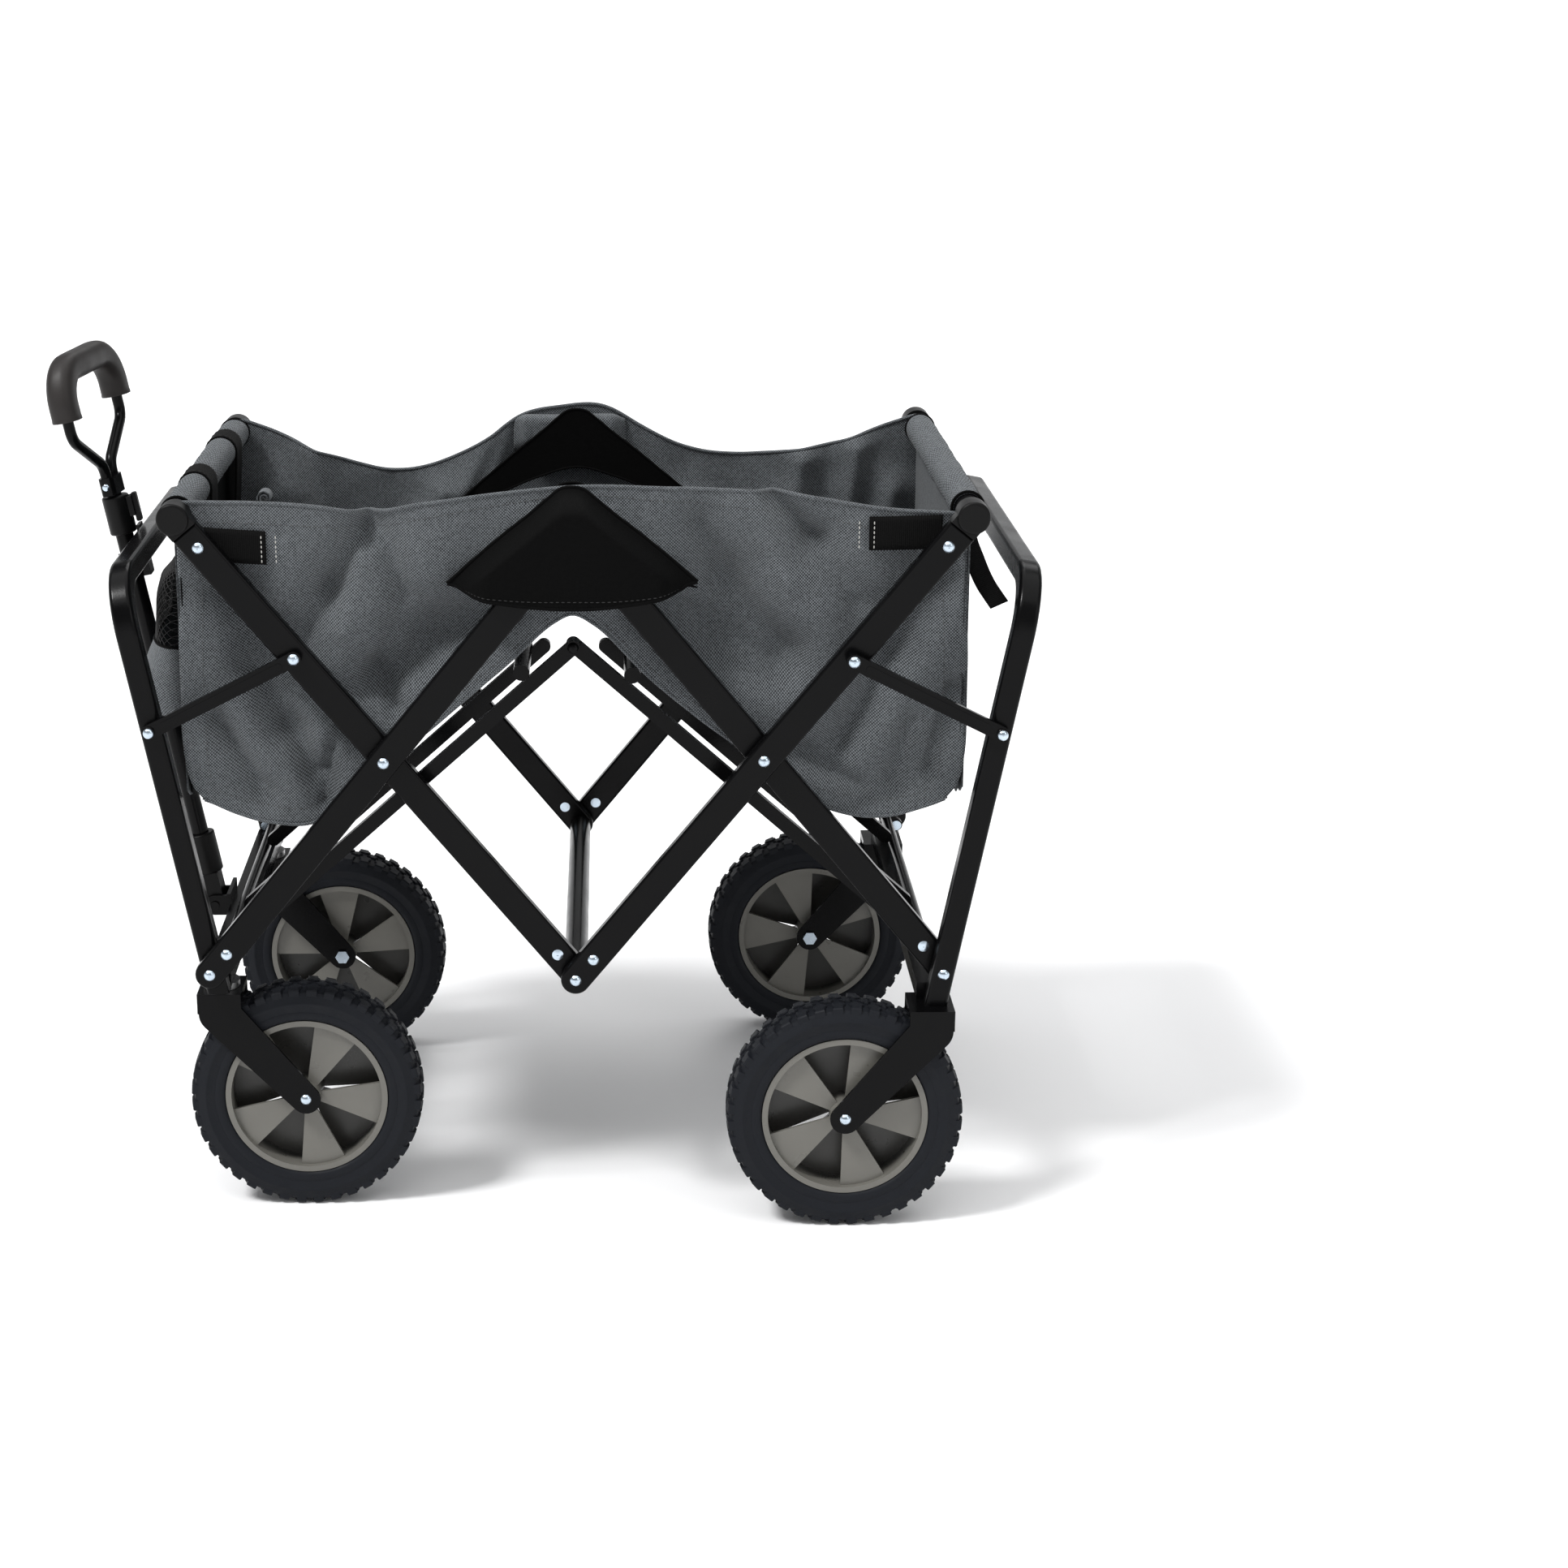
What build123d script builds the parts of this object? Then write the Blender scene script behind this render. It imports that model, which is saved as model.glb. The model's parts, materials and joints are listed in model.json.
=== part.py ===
from build123d import *
import os
from math import asin, atan2, cos, degrees, hypot, radians, sin

# Folding wagon with a pull handle, in millimetres, +Z up, wheels on Z = 0.
# The front, where the handle is, points to -X. Near is -Y and far is +Y.
# Every X below is measured from the two bottom centre pivots; the finished
# parts are then moved by CENTRE_X, so that the origin is under the middle.
CENTRE_X = 33.72

# Scissor linkage, drawn half way between flat and folded.
LINK_ANGLE = 50.7          # slope of every scissor arm
CENTRE_Z = 222.2           # height of the bottom centre pivots
HALF_LINK = 250.0          # bottom centre or top centre pivot to scissor pivot
UPPER_REACH = 264.5        # scissor pivot to rail
LOWER_REACH = 242.0        # scissor pivot to leg pivot
STRUT_REACH = 114.0        # scissor pivot to the strut's pivot, towards the rail
ARM_WIDTH = 25.0
ARM_DEPTH = 12.0
ARM_WALL = 1.5

# Layers across the wagon: distances from the middle plane to the layer's middle.
INNER_ARM_Y = 212.0
OUTER_ARM_Y = 226.0
FRONT_LEG_Y = 208.0
REAR_LEG_Y = 229.0
FRONT_STRUT_Y = 223.5
REAR_STRUT_Y = 243.5
FRONT_BAR_Y = 192.0
REAR_BAR_Y = 183.0
INNER_BAR_Y = 92.0
STRUT_DEPTH = 6.0
STRUT_WIDTH = 12.5

# Pivot pins and rivets.
PIN_R = 4.0
PLUG_RIVET = 24.0          # end rivets, from the pivot at that end
CAP_RIVET = 31.0           # corner cap rivets, from the rail
HOLE_R = 4.05
HEAD_R = 4.8
HEAD_DOME = 2.6
LOW_DOME = 0.9             # heads that another layer passes close over
HEAD_GAP = 0.3

# Leg frames.
LEAN = 11.0                # rest lean of both leg frames, tops outwards
TUBE = 19.0                # square leg tube
TUBE_WALL = 1.5
LEG_TO_STRUT = 217.5
LEG_TO_TOP = 343.0
TOP_BEND_R = 45.0
FOOT_Z = 206.0             # underside of the front legs
CROSSBAR_X = 22.0
CROSSBAR_Z = 15.0

# Wheels, forks and casters.
WHEEL_R = 101.6
TYRE_WIDTH = 40.0
RIM_R = 71.0
RIM_INNER_R = 66.0
HUB_R = 13.0
BLADES = 5
BLADE_ANGLE = 17.0         # half the angle that an outer blade spans
INNER_BLADE_ANGLE = 27.0
# Degrees that each rim is turned about its axle.
WHEEL_TURN = {"near_front": 65, "near_rear": -3, "far_front": 20, "far_rear": 33}
STEM_X = 309.0
TRAIL = 72.0
FRONT_WHEEL_Y = 180.0
REAR_WHEEL_Y = 228.0
REAR_CROWN_X = 302.0
CROWN_TOP = 200.0
CROWN_HALF = 19.0
PLATE_INNER = 21.0
PLATE = 2.5
STEM_R = 6.0

# Rails and tub.
RAIL_R = 11.0
SLEEVE_R = 13.5
CAP_R = 13.5
CAP_NECK = 14.0
TUB_HALF_Y = 199.0
CLOTH = 3.0
PANEL_BOTTOM = 372.0
PANEL_DEPTH = 8.0
PANEL_HALF_Y = 196.0
FLOOR_FROM_BAR = 26.0      # floor cloth above the floor bars, square to them
PAD_FROM_BAR = 30.0
PAD_DEPTH = 8.0
PAD_START = 228.0
PAD_END = 418.0
CORNER_START = 150.0       # where the floor cloth leaves the floor bars
BAR_WIDTH = 12.0
BAR_DEPTH = 8.0
CROSS_TUBE_R = 7.0
APEX_Z = 504.9

# Pull handle, in the front leg frame's own tilted frame.
HANDLE_X = -26.3
HANDLE_PIVOT = -7.5
HANDLE_TUBE_R = 8.0
HANDLE_BORE_R = 6.8
STEM_TUBE_R = 6.4
SOCKET_BOTTOM = 22.0
SOCKET_TOP = 60.0
HANDLE_TOP = 347.0
COLLAR_TOP = 382.0
YOKE_Z = 384.0
GRIP_BOTTOM = 461.0
GRIP_TOP = 504.0
GRIP_HALF_Y = 58.0
GRIP_R = 13.0
ROD_R = 5.0
ROD_BEND_R = 16.0
GRIP_TWIST = 12.0


def along(start, slope, distance, offset=0.0):
    """A point in side view, a distance along a slope, and an offset square to it on its upper side."""
    dx, dz = cos(radians(slope)), sin(radians(slope))
    return (start[0] + distance * dx - offset * dz, start[1] + distance * dz + offset * dx)


# Pivot points of the front half in side view; the rear half mirrors them.
PIVOT_B = (0.0, CENTRE_Z)
PIVOT_X = along(PIVOT_B, 180 - LINK_ANGLE, HALF_LINK)
PIVOT_T = along(PIVOT_X, LINK_ANGLE, HALF_LINK)
PIVOT_A = along(PIVOT_B, 180 - LINK_ANGLE, HALF_LINK + UPPER_REACH)
PIVOT_C = along(PIVOT_X, 180 + LINK_ANGLE, LOWER_REACH)
STRUT_TOP = along(PIVOT_B, 180 - LINK_ANGLE, HALF_LINK + STRUT_REACH)
STRUT_FOOT = along(PIVOT_C, 90 + LEAN, LEG_TO_STRUT)
APEX = (0.0, APEX_Z)
BAR_SLOPE = degrees(atan2(APEX[1] - PIVOT_C[1], -PIVOT_C[0]))
BAR_LENGTH = hypot(PIVOT_C[0], APEX[1] - PIVOT_C[1])


def mirrored(point):
    return (-point[0], point[1])


def place(point, end):
    """The front point itself, or its mirror image at the rear end."""
    return point if end == "front" else mirrored(point)


def side_plane(y):
    return Plane(origin=(0, y, 0), x_dir=(1, 0, 0), z_dir=(0, -1, 0))


def slab(sketch, y, depth):
    """A side-view sketch given a depth about the plane at y."""
    return extrude(side_plane(y) * sketch, amount=depth / 2, both=True)


def box_between(low, high):
    size = [b - a for a, b in zip(low, high)]
    middle = [(a + b) / 2 for a, b in zip(low, high)]
    return Pos(*middle) * Box(*size)


def rod_y(point, radius, y_from, y_to):
    """A round rod across the wagon."""
    return Pos(point[0], (y_from + y_to) / 2, point[1]) * Rot(90, 0, 0) * Cylinder(radius, abs(y_to - y_from))


def slot_outline(p, q, radius, square_end=False):
    """A flat bar's outline from p to q, rounded about p, and about q unless it ends square."""
    length = hypot(q[0] - p[0], q[1] - p[1])
    slope = degrees(atan2(q[1] - p[1], q[0] - p[0]))
    shape = Pos(length / 2, 0) * Rectangle(length, 2 * radius) + Circle(radius)
    if not square_end:
        shape += Pos(length, 0) * Circle(radius)
    return Pos(p[0], p[1]) * Rot(0, 0, slope) * shape


def scissor_arm(p, q, y, holes, square_end=False):
    """A flat-sided hollow arm with softened edges and a hole at each pivot."""
    arm = slab(slot_outline(p, q, ARM_WIDTH / 2, square_end), y, ARM_DEPTH)
    rims = arm.faces().filter_by(Axis.Y).edges()
    arm = fillet(rims, 2.5)
    length = hypot(q[0] - p[0], q[1] - p[1])
    slope = degrees(atan2(q[1] - p[1], q[0] - p[0]))
    inner_from = along(p, slope, 22)
    inner_to = along(p, slope, length - 22)
    arm -= slab(slot_outline(inner_from, inner_to, ARM_WIDTH / 2 - ARM_WALL), y, ARM_DEPTH - 2 * ARM_WALL)
    for hole in holes:
        arm -= rod_y(hole, HOLE_R, y - ARM_DEPTH, y + ARM_DEPTH)
    return arm


def dome(point, y, side, height=HEAD_DOME):
    """A rivet's round head, standing out towards the given side from y."""
    ball = (HEAD_R ** 2 + height ** 2) / (2 * height)
    rim_angle = degrees(asin((ball - height) / ball))
    cap = Sphere(ball, arc_size1=rim_angle, arc_size2=90, align=(Align.CENTER, Align.CENTER, Align.MIN))
    return Pos(point[0], y, point[1]) * Rot(-90 * side, 0, 0) * cap


def rivet(point, inner_y, outer_y, side, height=HEAD_DOME):
    """A rivet through layers between two distances from the middle plane, headed at both ends."""
    low, high = inner_y - HEAD_GAP, outer_y + HEAD_GAP
    pin = rod_y(point, PIN_R, side * low, side * high)
    pin += rod_y(point, HEAD_R, side * low, side * (low - 1.5))
    return pin + dome(point, side * high, side, height)


def both_sides(make):
    return Compound(children=[make(-1), make(1)])


# --- bottom centre ---------------------------------------------------------

def bottom_cross_tube():
    half = INNER_ARM_Y - ARM_DEPTH / 2 - 0.5
    tube = rod_y(PIVOT_B, 10, -half, half)
    return tube - rod_y(PIVOT_B, 8, -half + 3, half - 3)


def centre_pivot_pins():
    start = INNER_ARM_Y - ARM_DEPTH / 2 - 0.5
    end = OUTER_ARM_Y + ARM_DEPTH / 2 + HEAD_GAP
    return both_sides(lambda s: rod_y(PIVOT_B, PIN_R, s * start, s * end) + dome(PIVOT_B, s * end, s))


# --- arms that carry the rails ----------------------------------------------

def rail_arm(end, side):
    y = side * (INNER_ARM_Y if end == "front" else OUTER_ARM_Y)
    slope = 180 - LINK_ANGLE if end == "front" else LINK_ANGLE
    tip = along(PIVOT_B, slope, HALF_LINK + UPPER_REACH - CAP_NECK)
    holes = [place(PIVOT_X, end), place(STRUT_TOP, end), PIVOT_B]
    holes += [along(PIVOT_B, slope, PLUG_RIVET), along(PIVOT_B, slope, HALF_LINK + UPPER_REACH - CAP_RIVET)]
    return scissor_arm(PIVOT_B, tip, y, holes, square_end=True)


def corner_caps(end):
    """Plastic corner pieces that join each arm's tip to the rail."""
    arm_y = INNER_ARM_Y if end == "front" else OUTER_ARM_Y
    slope = 180 - LINK_ANGLE if end == "front" else LINK_ANGLE
    root = along(PIVOT_B, slope, HALF_LINK + UPPER_REACH - CAP_NECK)
    top = place(PIVOT_A, end)

    def cap(side):
        drum = rod_y(top, CAP_R, side * (arm_y - 13), side * (arm_y + 10))
        rim = drum.faces().sort_by(Axis.Y)[0 if side < 0 else -1].edges()
        drum = fillet(rim, 2.5)
        middle = ((root[0] + top[0]) / 2, (root[1] + top[1]) / 2)
        neck = Pos(*middle) * Rot(0, 0, slope) * Rectangle(CAP_NECK, ARM_WIDTH - 1)
        return drum + slab(neck, side * arm_y, ARM_DEPTH + 3)

    return both_sides(cap)


def rail(end):
    half = (INNER_ARM_Y if end == "front" else OUTER_ARM_Y) - 13
    top = place(PIVOT_A, end)
    return rod_y(top, RAIL_R, -half, half) - rod_y(top, RAIL_R - 1.5, -half - 1, half + 1)


def rail_sleeve(end):
    top = place(PIVOT_A, end)
    return rod_y(top, SLEEVE_R, -190, 190) - rod_y(top, RAIL_R + 0.3, -191, 191)


def rail_arm_rivets(end):
    """Rivets that hold the corner caps and the end plugs, and carry the struts."""
    arm_y = INNER_ARM_Y if end == "front" else OUTER_ARM_Y
    strut_y = FRONT_STRUT_Y if end == "front" else REAR_STRUT_Y
    slope = 180 - LINK_ANGLE if end == "front" else LINK_ANGLE
    reach = HALF_LINK + UPPER_REACH
    cap_rivet = along(PIVOT_B, slope, reach - CAP_RIVET)
    plug_rivet = along(PIVOT_B, slope, PLUG_RIVET)
    inner, outer = arm_y - ARM_DEPTH / 2, arm_y + ARM_DEPTH / 2
    plug_height = LOW_DOME if end == "front" else HEAD_DOME
    solids = []
    for side in (-1, 1):
        solids.append(rivet(cap_rivet, inner, outer, side))
        solids.append(rivet(place(STRUT_TOP, end), inner, strut_y + STRUT_DEPTH / 2, side))
        solids.append(rivet(plug_rivet, inner, outer, side, plug_height))
    return Compound(children=solids)


# --- arms that cross them ----------------------------------------------------

def cross_arm(end, side):
    y = side * (OUTER_ARM_Y if end == "front" else INNER_ARM_Y)
    foot = place(PIVOT_C, end)
    slope = LINK_ANGLE if end == "front" else 180 - LINK_ANGLE
    holes = [foot, along(foot, slope, PLUG_RIVET), place(PIVOT_X, end), PIVOT_T]
    return scissor_arm(foot, PIVOT_T, y, holes)


def cross_arm_rivets(end):
    """Scissor and leg pivots, the plug rivets above the feet and, at the front, the top pivots."""
    foot = place(PIVOT_C, end)
    slope = LINK_ANGLE if end == "front" else 180 - LINK_ANGLE
    plug = along(foot, slope, PLUG_RIVET)
    inner_face = INNER_ARM_Y - ARM_DEPTH / 2
    outer_face = OUTER_ARM_Y + ARM_DEPTH / 2
    foot_outer = outer_face if end == "front" else REAR_LEG_Y + TUBE / 2
    bar_y = FRONT_BAR_Y if end == "front" else REAR_BAR_Y
    arm_y = OUTER_ARM_Y if end == "front" else INNER_ARM_Y
    plug_height = HEAD_DOME if end == "front" else LOW_DOME
    solids = []
    for side in (-1, 1):
        solids.append(rivet(place(PIVOT_X, end), inner_face, outer_face, side))
        solids.append(rivet(foot, bar_y - BAR_DEPTH / 2, foot_outer, side))
        solids.append(rivet(plug, arm_y - ARM_DEPTH / 2, arm_y + ARM_DEPTH / 2, side, plug_height))
        if end == "front":
            solids.append(rivet(PIVOT_T, 186, outer_face, side))
    return Compound(children=solids)


# --- leg frames ---------------------------------------------------------------

def leg_frame_place(end):
    foot = place(PIVOT_C, end)
    return Pos(foot[0], 0, foot[1]) * Rot(0, -LEAN if end == "front" else LEAN, 0)


def u_frame(end):
    """One tube bent into an inverted U, holed for the leg pivots, on its lower crossbar."""
    y = FRONT_LEG_Y if end == "front" else REAR_LEG_Y
    corners = ((0, -y, -40), (0, -y, LEG_TO_TOP), (0, y, LEG_TO_TOP), (0, y, -40))
    path = FilletPolyline(*corners, radius=TOP_BEND_R)
    bore = TUBE - 2 * TUBE_WALL
    section = RectangleRounded(TUBE, TUBE, 4) - RectangleRounded(bore, bore, 2.5)
    tube = sweep(Plane(origin=(0, -y, -40), z_dir=(0, 0, 1)) * section, path=path)
    tube = leg_frame_place(end) * tube
    foot = place(PIVOT_C, end)
    bottom = FOOT_Z if end == "front" else CROWN_TOP
    tube -= box_between((foot[0] - 60, -300, bottom - 80), (foot[0] + 60, 300, bottom))
    if end == "front":
        bar_x, bar_half, bar_top = -STEM_X, y - TUBE / 2 + 1, bottom + CROSSBAR_Z
    else:
        bar_x, bar_half, bar_top = REAR_CROWN_X, y - TUBE / 2 + 1, bottom + CROSSBAR_Z
    low = (bar_x - CROSSBAR_X / 2, -bar_half, bottom)
    outer = box_between(low, (bar_x + CROSSBAR_X / 2, bar_half, bar_top))
    wall = TUBE_WALL
    inner = box_between(
        (bar_x - CROSSBAR_X / 2 + wall, -bar_half + 20, bottom + wall),
        (bar_x + CROSSBAR_X / 2 - wall, bar_half - 20, bar_top - wall),
    )
    frame = tube + (outer - inner)
    frame -= rod_y(foot, HOLE_R, -300, 300)
    frame -= rod_y(place(STRUT_FOOT, end), HOLE_R, -300, 300)
    if end == "front":
        for side in (-1, 1):
            frame -= Pos(-STEM_X, side * FRONT_WHEEL_Y, bottom) * Cylinder(STEM_R + 0.05, 60)
    return frame


def tapered_arm(p, radius_p, q, radius_q):
    """The outline round two circles and the straight lines that touch both."""
    length = hypot(q[0] - p[0], q[1] - p[1])
    slope = degrees(atan2(q[1] - p[1], q[0] - p[0]))
    lean = degrees(asin((radius_p - radius_q) / length))
    corners = []
    for point, radius, sides in ((p, radius_p, (1, -1)), (q, radius_q, (-1, 1))):
        for turn in sides:
            angle = radians(slope + turn * (90 - lean))
            corners.append((point[0] + radius * cos(angle), point[1] + radius * sin(angle)))
    body = make_face(Polyline(*corners, close=True))
    return body + Pos(*p) * Circle(radius_p) + Pos(*q) * Circle(radius_q)


def fork(crown_x, hub_x, y):
    """A pressed fork: a crown over the tyre and a tapered plate down each side to the hub."""
    hub = (hub_x, WHEEL_R)
    knee = (crown_x, CROWN_TOP - CROWN_HALF + 1)
    skirt = Pos(crown_x, CROWN_TOP - 9) * Rectangle(2 * CROWN_HALF, 18)
    outline = tapered_arm(knee, CROWN_HALF - 1, hub, HUB_R) + skirt
    depth = PLATE_INNER + PLATE
    outer_y = y - depth
    shape = slab(outline, y - depth + PLATE / 2, PLATE) + slab(outline, y + depth - PLATE / 2, PLATE)
    shape += box_between(
        (crown_x - CROWN_HALF, outer_y, CROWN_TOP - 6), (crown_x + CROWN_HALF, y + depth, CROWN_TOP)
    )
    return shape - rod_y(hub, HOLE_R, y - 60, y + 60)


def axle_bolt(hub_x, y, side):
    """The bolt that a wheel turns on, with a domed head outside and a nut inside."""
    hub = (hub_x, WHEEL_R)
    depth = PLATE_INNER + PLATE + 0.1
    bolt = rod_y(hub, PIN_R, y - depth, y + depth)
    bolt += dome(hub, y + side * depth, side)
    nut = Pos(*hub) * RegularPolygon(7, 6)
    return bolt + slab(nut, y - side * (depth + 1.7), 3.4)


def rear_forks():
    """The fixed forks, welded under the rear legs."""
    return both_sides(lambda s: fork(REAR_CROWN_X, REAR_CROWN_X - TRAIL, s * REAR_WHEEL_Y))


def rear_axles():
    return both_sides(lambda s: axle_bolt(REAR_CROWN_X - TRAIL, s * REAR_WHEEL_Y, s))


def caster_fork(side):
    """The fork with its swivel stem, which passes up through the crossbar."""
    y = side * FRONT_WHEEL_Y
    shape = fork(-STEM_X, -STEM_X + TRAIL, y)
    stem_top = FOOT_Z + CROSSBAR_Z + 2.5
    return shape + Pos(-STEM_X, y, (CROWN_TOP + stem_top) / 2) * Cylinder(STEM_R, stem_top - CROWN_TOP)


def caster_bearings():
    """Race washers between each crown and the crossbar."""
    low, high = CROWN_TOP + 0.3, FOOT_Z
    ring = Cylinder(16, high - low) - Cylinder(STEM_R + 0.05, high - low)
    return both_sides(lambda s: Pos(-STEM_X, s * FRONT_WHEEL_Y, (low + high) / 2) * ring)


def struts(end):
    """Flat links with a raised rib, each tied to its leg by a rivet head at the open end."""
    y = FRONT_STRUT_Y if end == "front" else REAR_STRUT_Y
    top, foot = place(STRUT_TOP, end), place(STRUT_FOOT, end)
    slope = degrees(atan2(foot[1] - top[1], foot[0] - top[0]))
    length = hypot(foot[0] - top[0], foot[1] - top[1])

    def strut(side):
        bar = slab(slot_outline(top, foot, STRUT_WIDTH / 2), side * y, STRUT_DEPTH - 1)
        rib = slot_outline(along(top, slope, 14), along(top, slope, length - 14), 3)
        bar += slab(rib, side * (y + 0.25), STRUT_DEPTH - 0.5)
        bar -= rod_y(top, HOLE_R, side * (y - 9), side * (y + 9))
        return bar + dome(foot, side * (y + STRUT_DEPTH / 2 - 0.5), side)

    return both_sides(strut)


# --- wheels --------------------------------------------------------------------

def tyre(hub_x, y):
    section = Pos((RIM_R + 0.2 + WHEEL_R) / 2, 0) * Rectangle(WHEEL_R - RIM_R - 0.2, TYRE_WIDTH)
    corners = section.vertices().sort_by(Axis.X)[-2:]
    section = fillet(corners, 7)
    ring = revolve(Plane.XZ * section, axis=Axis.Z)
    return Pos(hub_x, y, WHEEL_R) * Rot(90, 0, 0) * ring


def wedge_blade(half_angle):
    """A wedge from inside the hub out to just inside the barrel's wall."""
    root = HUB_R * sin(radians(half_angle))
    out = (RIM_INNER_R + 10) * cos(radians(half_angle))
    half = (RIM_INNER_R + 10) * sin(radians(half_angle))
    corners = ((HUB_R - 4, root), (out, half), (out, -half), (HUB_R - 4, -root))
    return make_face(Polyline(*corners, close=True)) & Circle(RIM_INNER_R + 1)


def rim(hub_x, y, turn):
    """A barrel, a hub and two sets of wedge blades, the second set behind the first one's gaps."""
    wheel = Cylinder(RIM_R, TYRE_WIDTH - 6) - Cylinder(RIM_INNER_R, TYRE_WIDTH)
    wheel += Cylinder(HUB_R, TYRE_WIDTH)
    pitch = 360 / BLADES
    blade_sets = ((9, BLADE_ANGLE, turn), (-12, INNER_BLADE_ANGLE, turn + pitch / 2))
    for level, half_angle, start in blade_sets:
        blade = extrude(wedge_blade(half_angle), amount=3)
        for i in range(BLADES):
            wheel += Pos(0, 0, level) * Rot(0, 0, start + i * pitch) * blade
    wheel -= Cylinder(HOLE_R, TYRE_WIDTH + 2)
    return Pos(hub_x, y, WHEEL_R) * Rot(90, 0, 0) * wheel


# --- tub -------------------------------------------------------------------------

def floor_frame(end):
    """Four floor bars tied by two cross tubes, hinged at the leg pivots."""
    foot = place(PIVOT_C, end)
    slope = BAR_SLOPE if end == "front" else 180 - BAR_SLOPE
    bar_y = FRONT_BAR_Y if end == "front" else REAR_BAR_Y
    up = 1 if end == "front" else -1
    reach = bar_y - BAR_DEPTH / 2
    solids = []
    low_tube = along(foot, slope, 15)
    cross_at = 370 if end == "front" else 362
    high_tube = along(foot, slope, cross_at, up * (BAR_WIDTH / 2 + CROSS_TUBE_R))
    for side in (-1, 1):
        bar = slab(slot_outline(foot, APEX, BAR_WIDTH / 2), side * bar_y, BAR_DEPTH)
        bar -= rod_y(foot, HOLE_R, side * (bar_y - 9), side * (bar_y + 9))
        if end == "front":
            bar += dome(APEX, side * (bar_y + BAR_DEPTH / 2), side)
        solids.append(bar)
        start, stop = along(foot, slope, 26), along(foot, slope, BAR_LENGTH - 36)
        solids.append(slab(slot_outline(start, stop, BAR_WIDTH / 2), side * INNER_BAR_Y, BAR_DEPTH))
    solids.append(rod_y(low_tube, 5, -reach, reach))
    solids.append(rod_y(high_tube, CROSS_TUBE_R, -reach - BAR_DEPTH, reach + BAR_DEPTH))
    return Compound(children=solids)


def floor_pad(end):
    """The stiff mat that lies on the floor cloth over each floor frame."""
    foot = place(PIVOT_C, end)
    slope = BAR_SLOPE if end == "front" else 180 - BAR_SLOPE
    up = 1 if end == "front" else -1
    corners = [
        along(foot, slope, PAD_START, up * PAD_FROM_BAR),
        along(foot, slope, PAD_END, up * PAD_FROM_BAR),
        along(foot, slope, PAD_END, up * (PAD_FROM_BAR + PAD_DEPTH)),
        along(foot, slope, PAD_START, up * (PAD_FROM_BAR + PAD_DEPTH)),
    ]
    return slab(make_face(Polyline(*corners, close=True)), 0, 2 * 186)


def floor_line(offset):
    """The front half of the floor cloth in side view, from the end panel to the middle."""
    corner = along(PIVOT_C, BAR_SLOPE, CORNER_START, offset)
    peak = (0.0, APEX[1] + offset / cos(radians(BAR_SLOPE)))
    return [(PIVOT_A[0] + 8, PANEL_BOTTOM + offset - FLOOR_FROM_BAR), corner, peak]


def tub_floor_cloth():
    low = floor_line(FLOOR_FROM_BAR)
    high = floor_line(FLOOR_FROM_BAR + CLOTH)
    outline = low + [mirrored(p) for p in reversed(low[:-1])]
    outline += [mirrored(p) for p in high[:-1]] + [p for p in reversed(high)]
    return slab(make_face(Polyline(*outline, close=True)), 0, 2 * (PANEL_HALF_Y + 1))


def side_panel(side):
    """The cloth side of the tub, from the rails to the peak over the top pivots."""
    low = floor_line(FLOOR_FROM_BAR)
    half = [(PIVOT_A[0] - 2, 470.0), (PIVOT_A[0] + 8, 606.0), (-168.0, 614.0), (-95.0, 624.0), (-45.0, 631.0)]
    outline = [low[2], low[1], (PIVOT_A[0] + 16, PANEL_BOTTOM)] + half
    outline += [mirrored(p) for p in reversed(outline[1:])]
    panel = slab(make_face(Polyline(*outline, close=True)), side * (TUB_HALF_Y + CLOTH / 2), CLOTH)
    return panel - rod_y(PIVOT_T, PIN_R + 2, side * 190, side * 210)


def side_flaps():
    """A black gusset over each top pivot: narrow at the tub's edge, wide where it hangs below."""
    top = PIVOT_T[1] + 30
    half = [(14.0, top), (103.0, top - 75), (50.0, top - 88)]
    points = half + [(0.0, top - 92)] + [mirrored(p) for p in reversed(half)]
    outline = make_face(Polyline(*points, close=True))

    def flap(side):
        hanging = slab(outline, side * 238, 2.4)
        near, far = sorted((side * 204, side * 238))
        turned = box_between((-14, near, top - 2.4), (14, far, top))
        return hanging + turned

    return both_sides(flap)


def top_brackets():
    """Plastic plates on the top pivots, with a level bar that holds up the tub's edge."""
    z = PIVOT_T[1]
    outline = Pos(0, z) * Circle(12)
    outline += Pos(0, z + 9) * Rectangle(24, 14)
    outline += Pos(-15 / 2, z + 17) * Rectangle(84, 8)
    outline -= Pos(0, z) * Circle(HOLE_R)
    return both_sides(lambda s: slab(outline, s * 191.5, 9))


def end_panel(end):
    x = PIVOT_A[0] if end == "front" else -PIVOT_A[0]
    top = PIVOT_A[1] - SLEEVE_R - 2
    shape = box_between(
        (x - PANEL_DEPTH / 2, -PANEL_HALF_Y, PANEL_BOTTOM), (x + PANEL_DEPTH / 2, PANEL_HALF_Y, top)
    )
    return fillet(shape.edges().filter_by(Axis.X), 12)


def front_pocket():
    """The storage pocket on the front of the tub, open at its top."""
    x = PIVOT_A[0] - PANEL_DEPTH / 2 - 0.5
    shape = box_between((x - 38, -150, 432), (x, 150, 550))
    front_edges = shape.faces().sort_by(Axis.X)[0].edges().filter_by(Axis.Z)
    shape = fillet(shape.edges().filter_by(Axis.X) + front_edges, 12)
    return shape - box_between((x - 35, -147, 436), (x - 3, 147, 552))


# --- pull handle -------------------------------------------------------------------

def handle_place():
    return leg_frame_place("front") * Pos(HANDLE_X, 0, 0)


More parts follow.
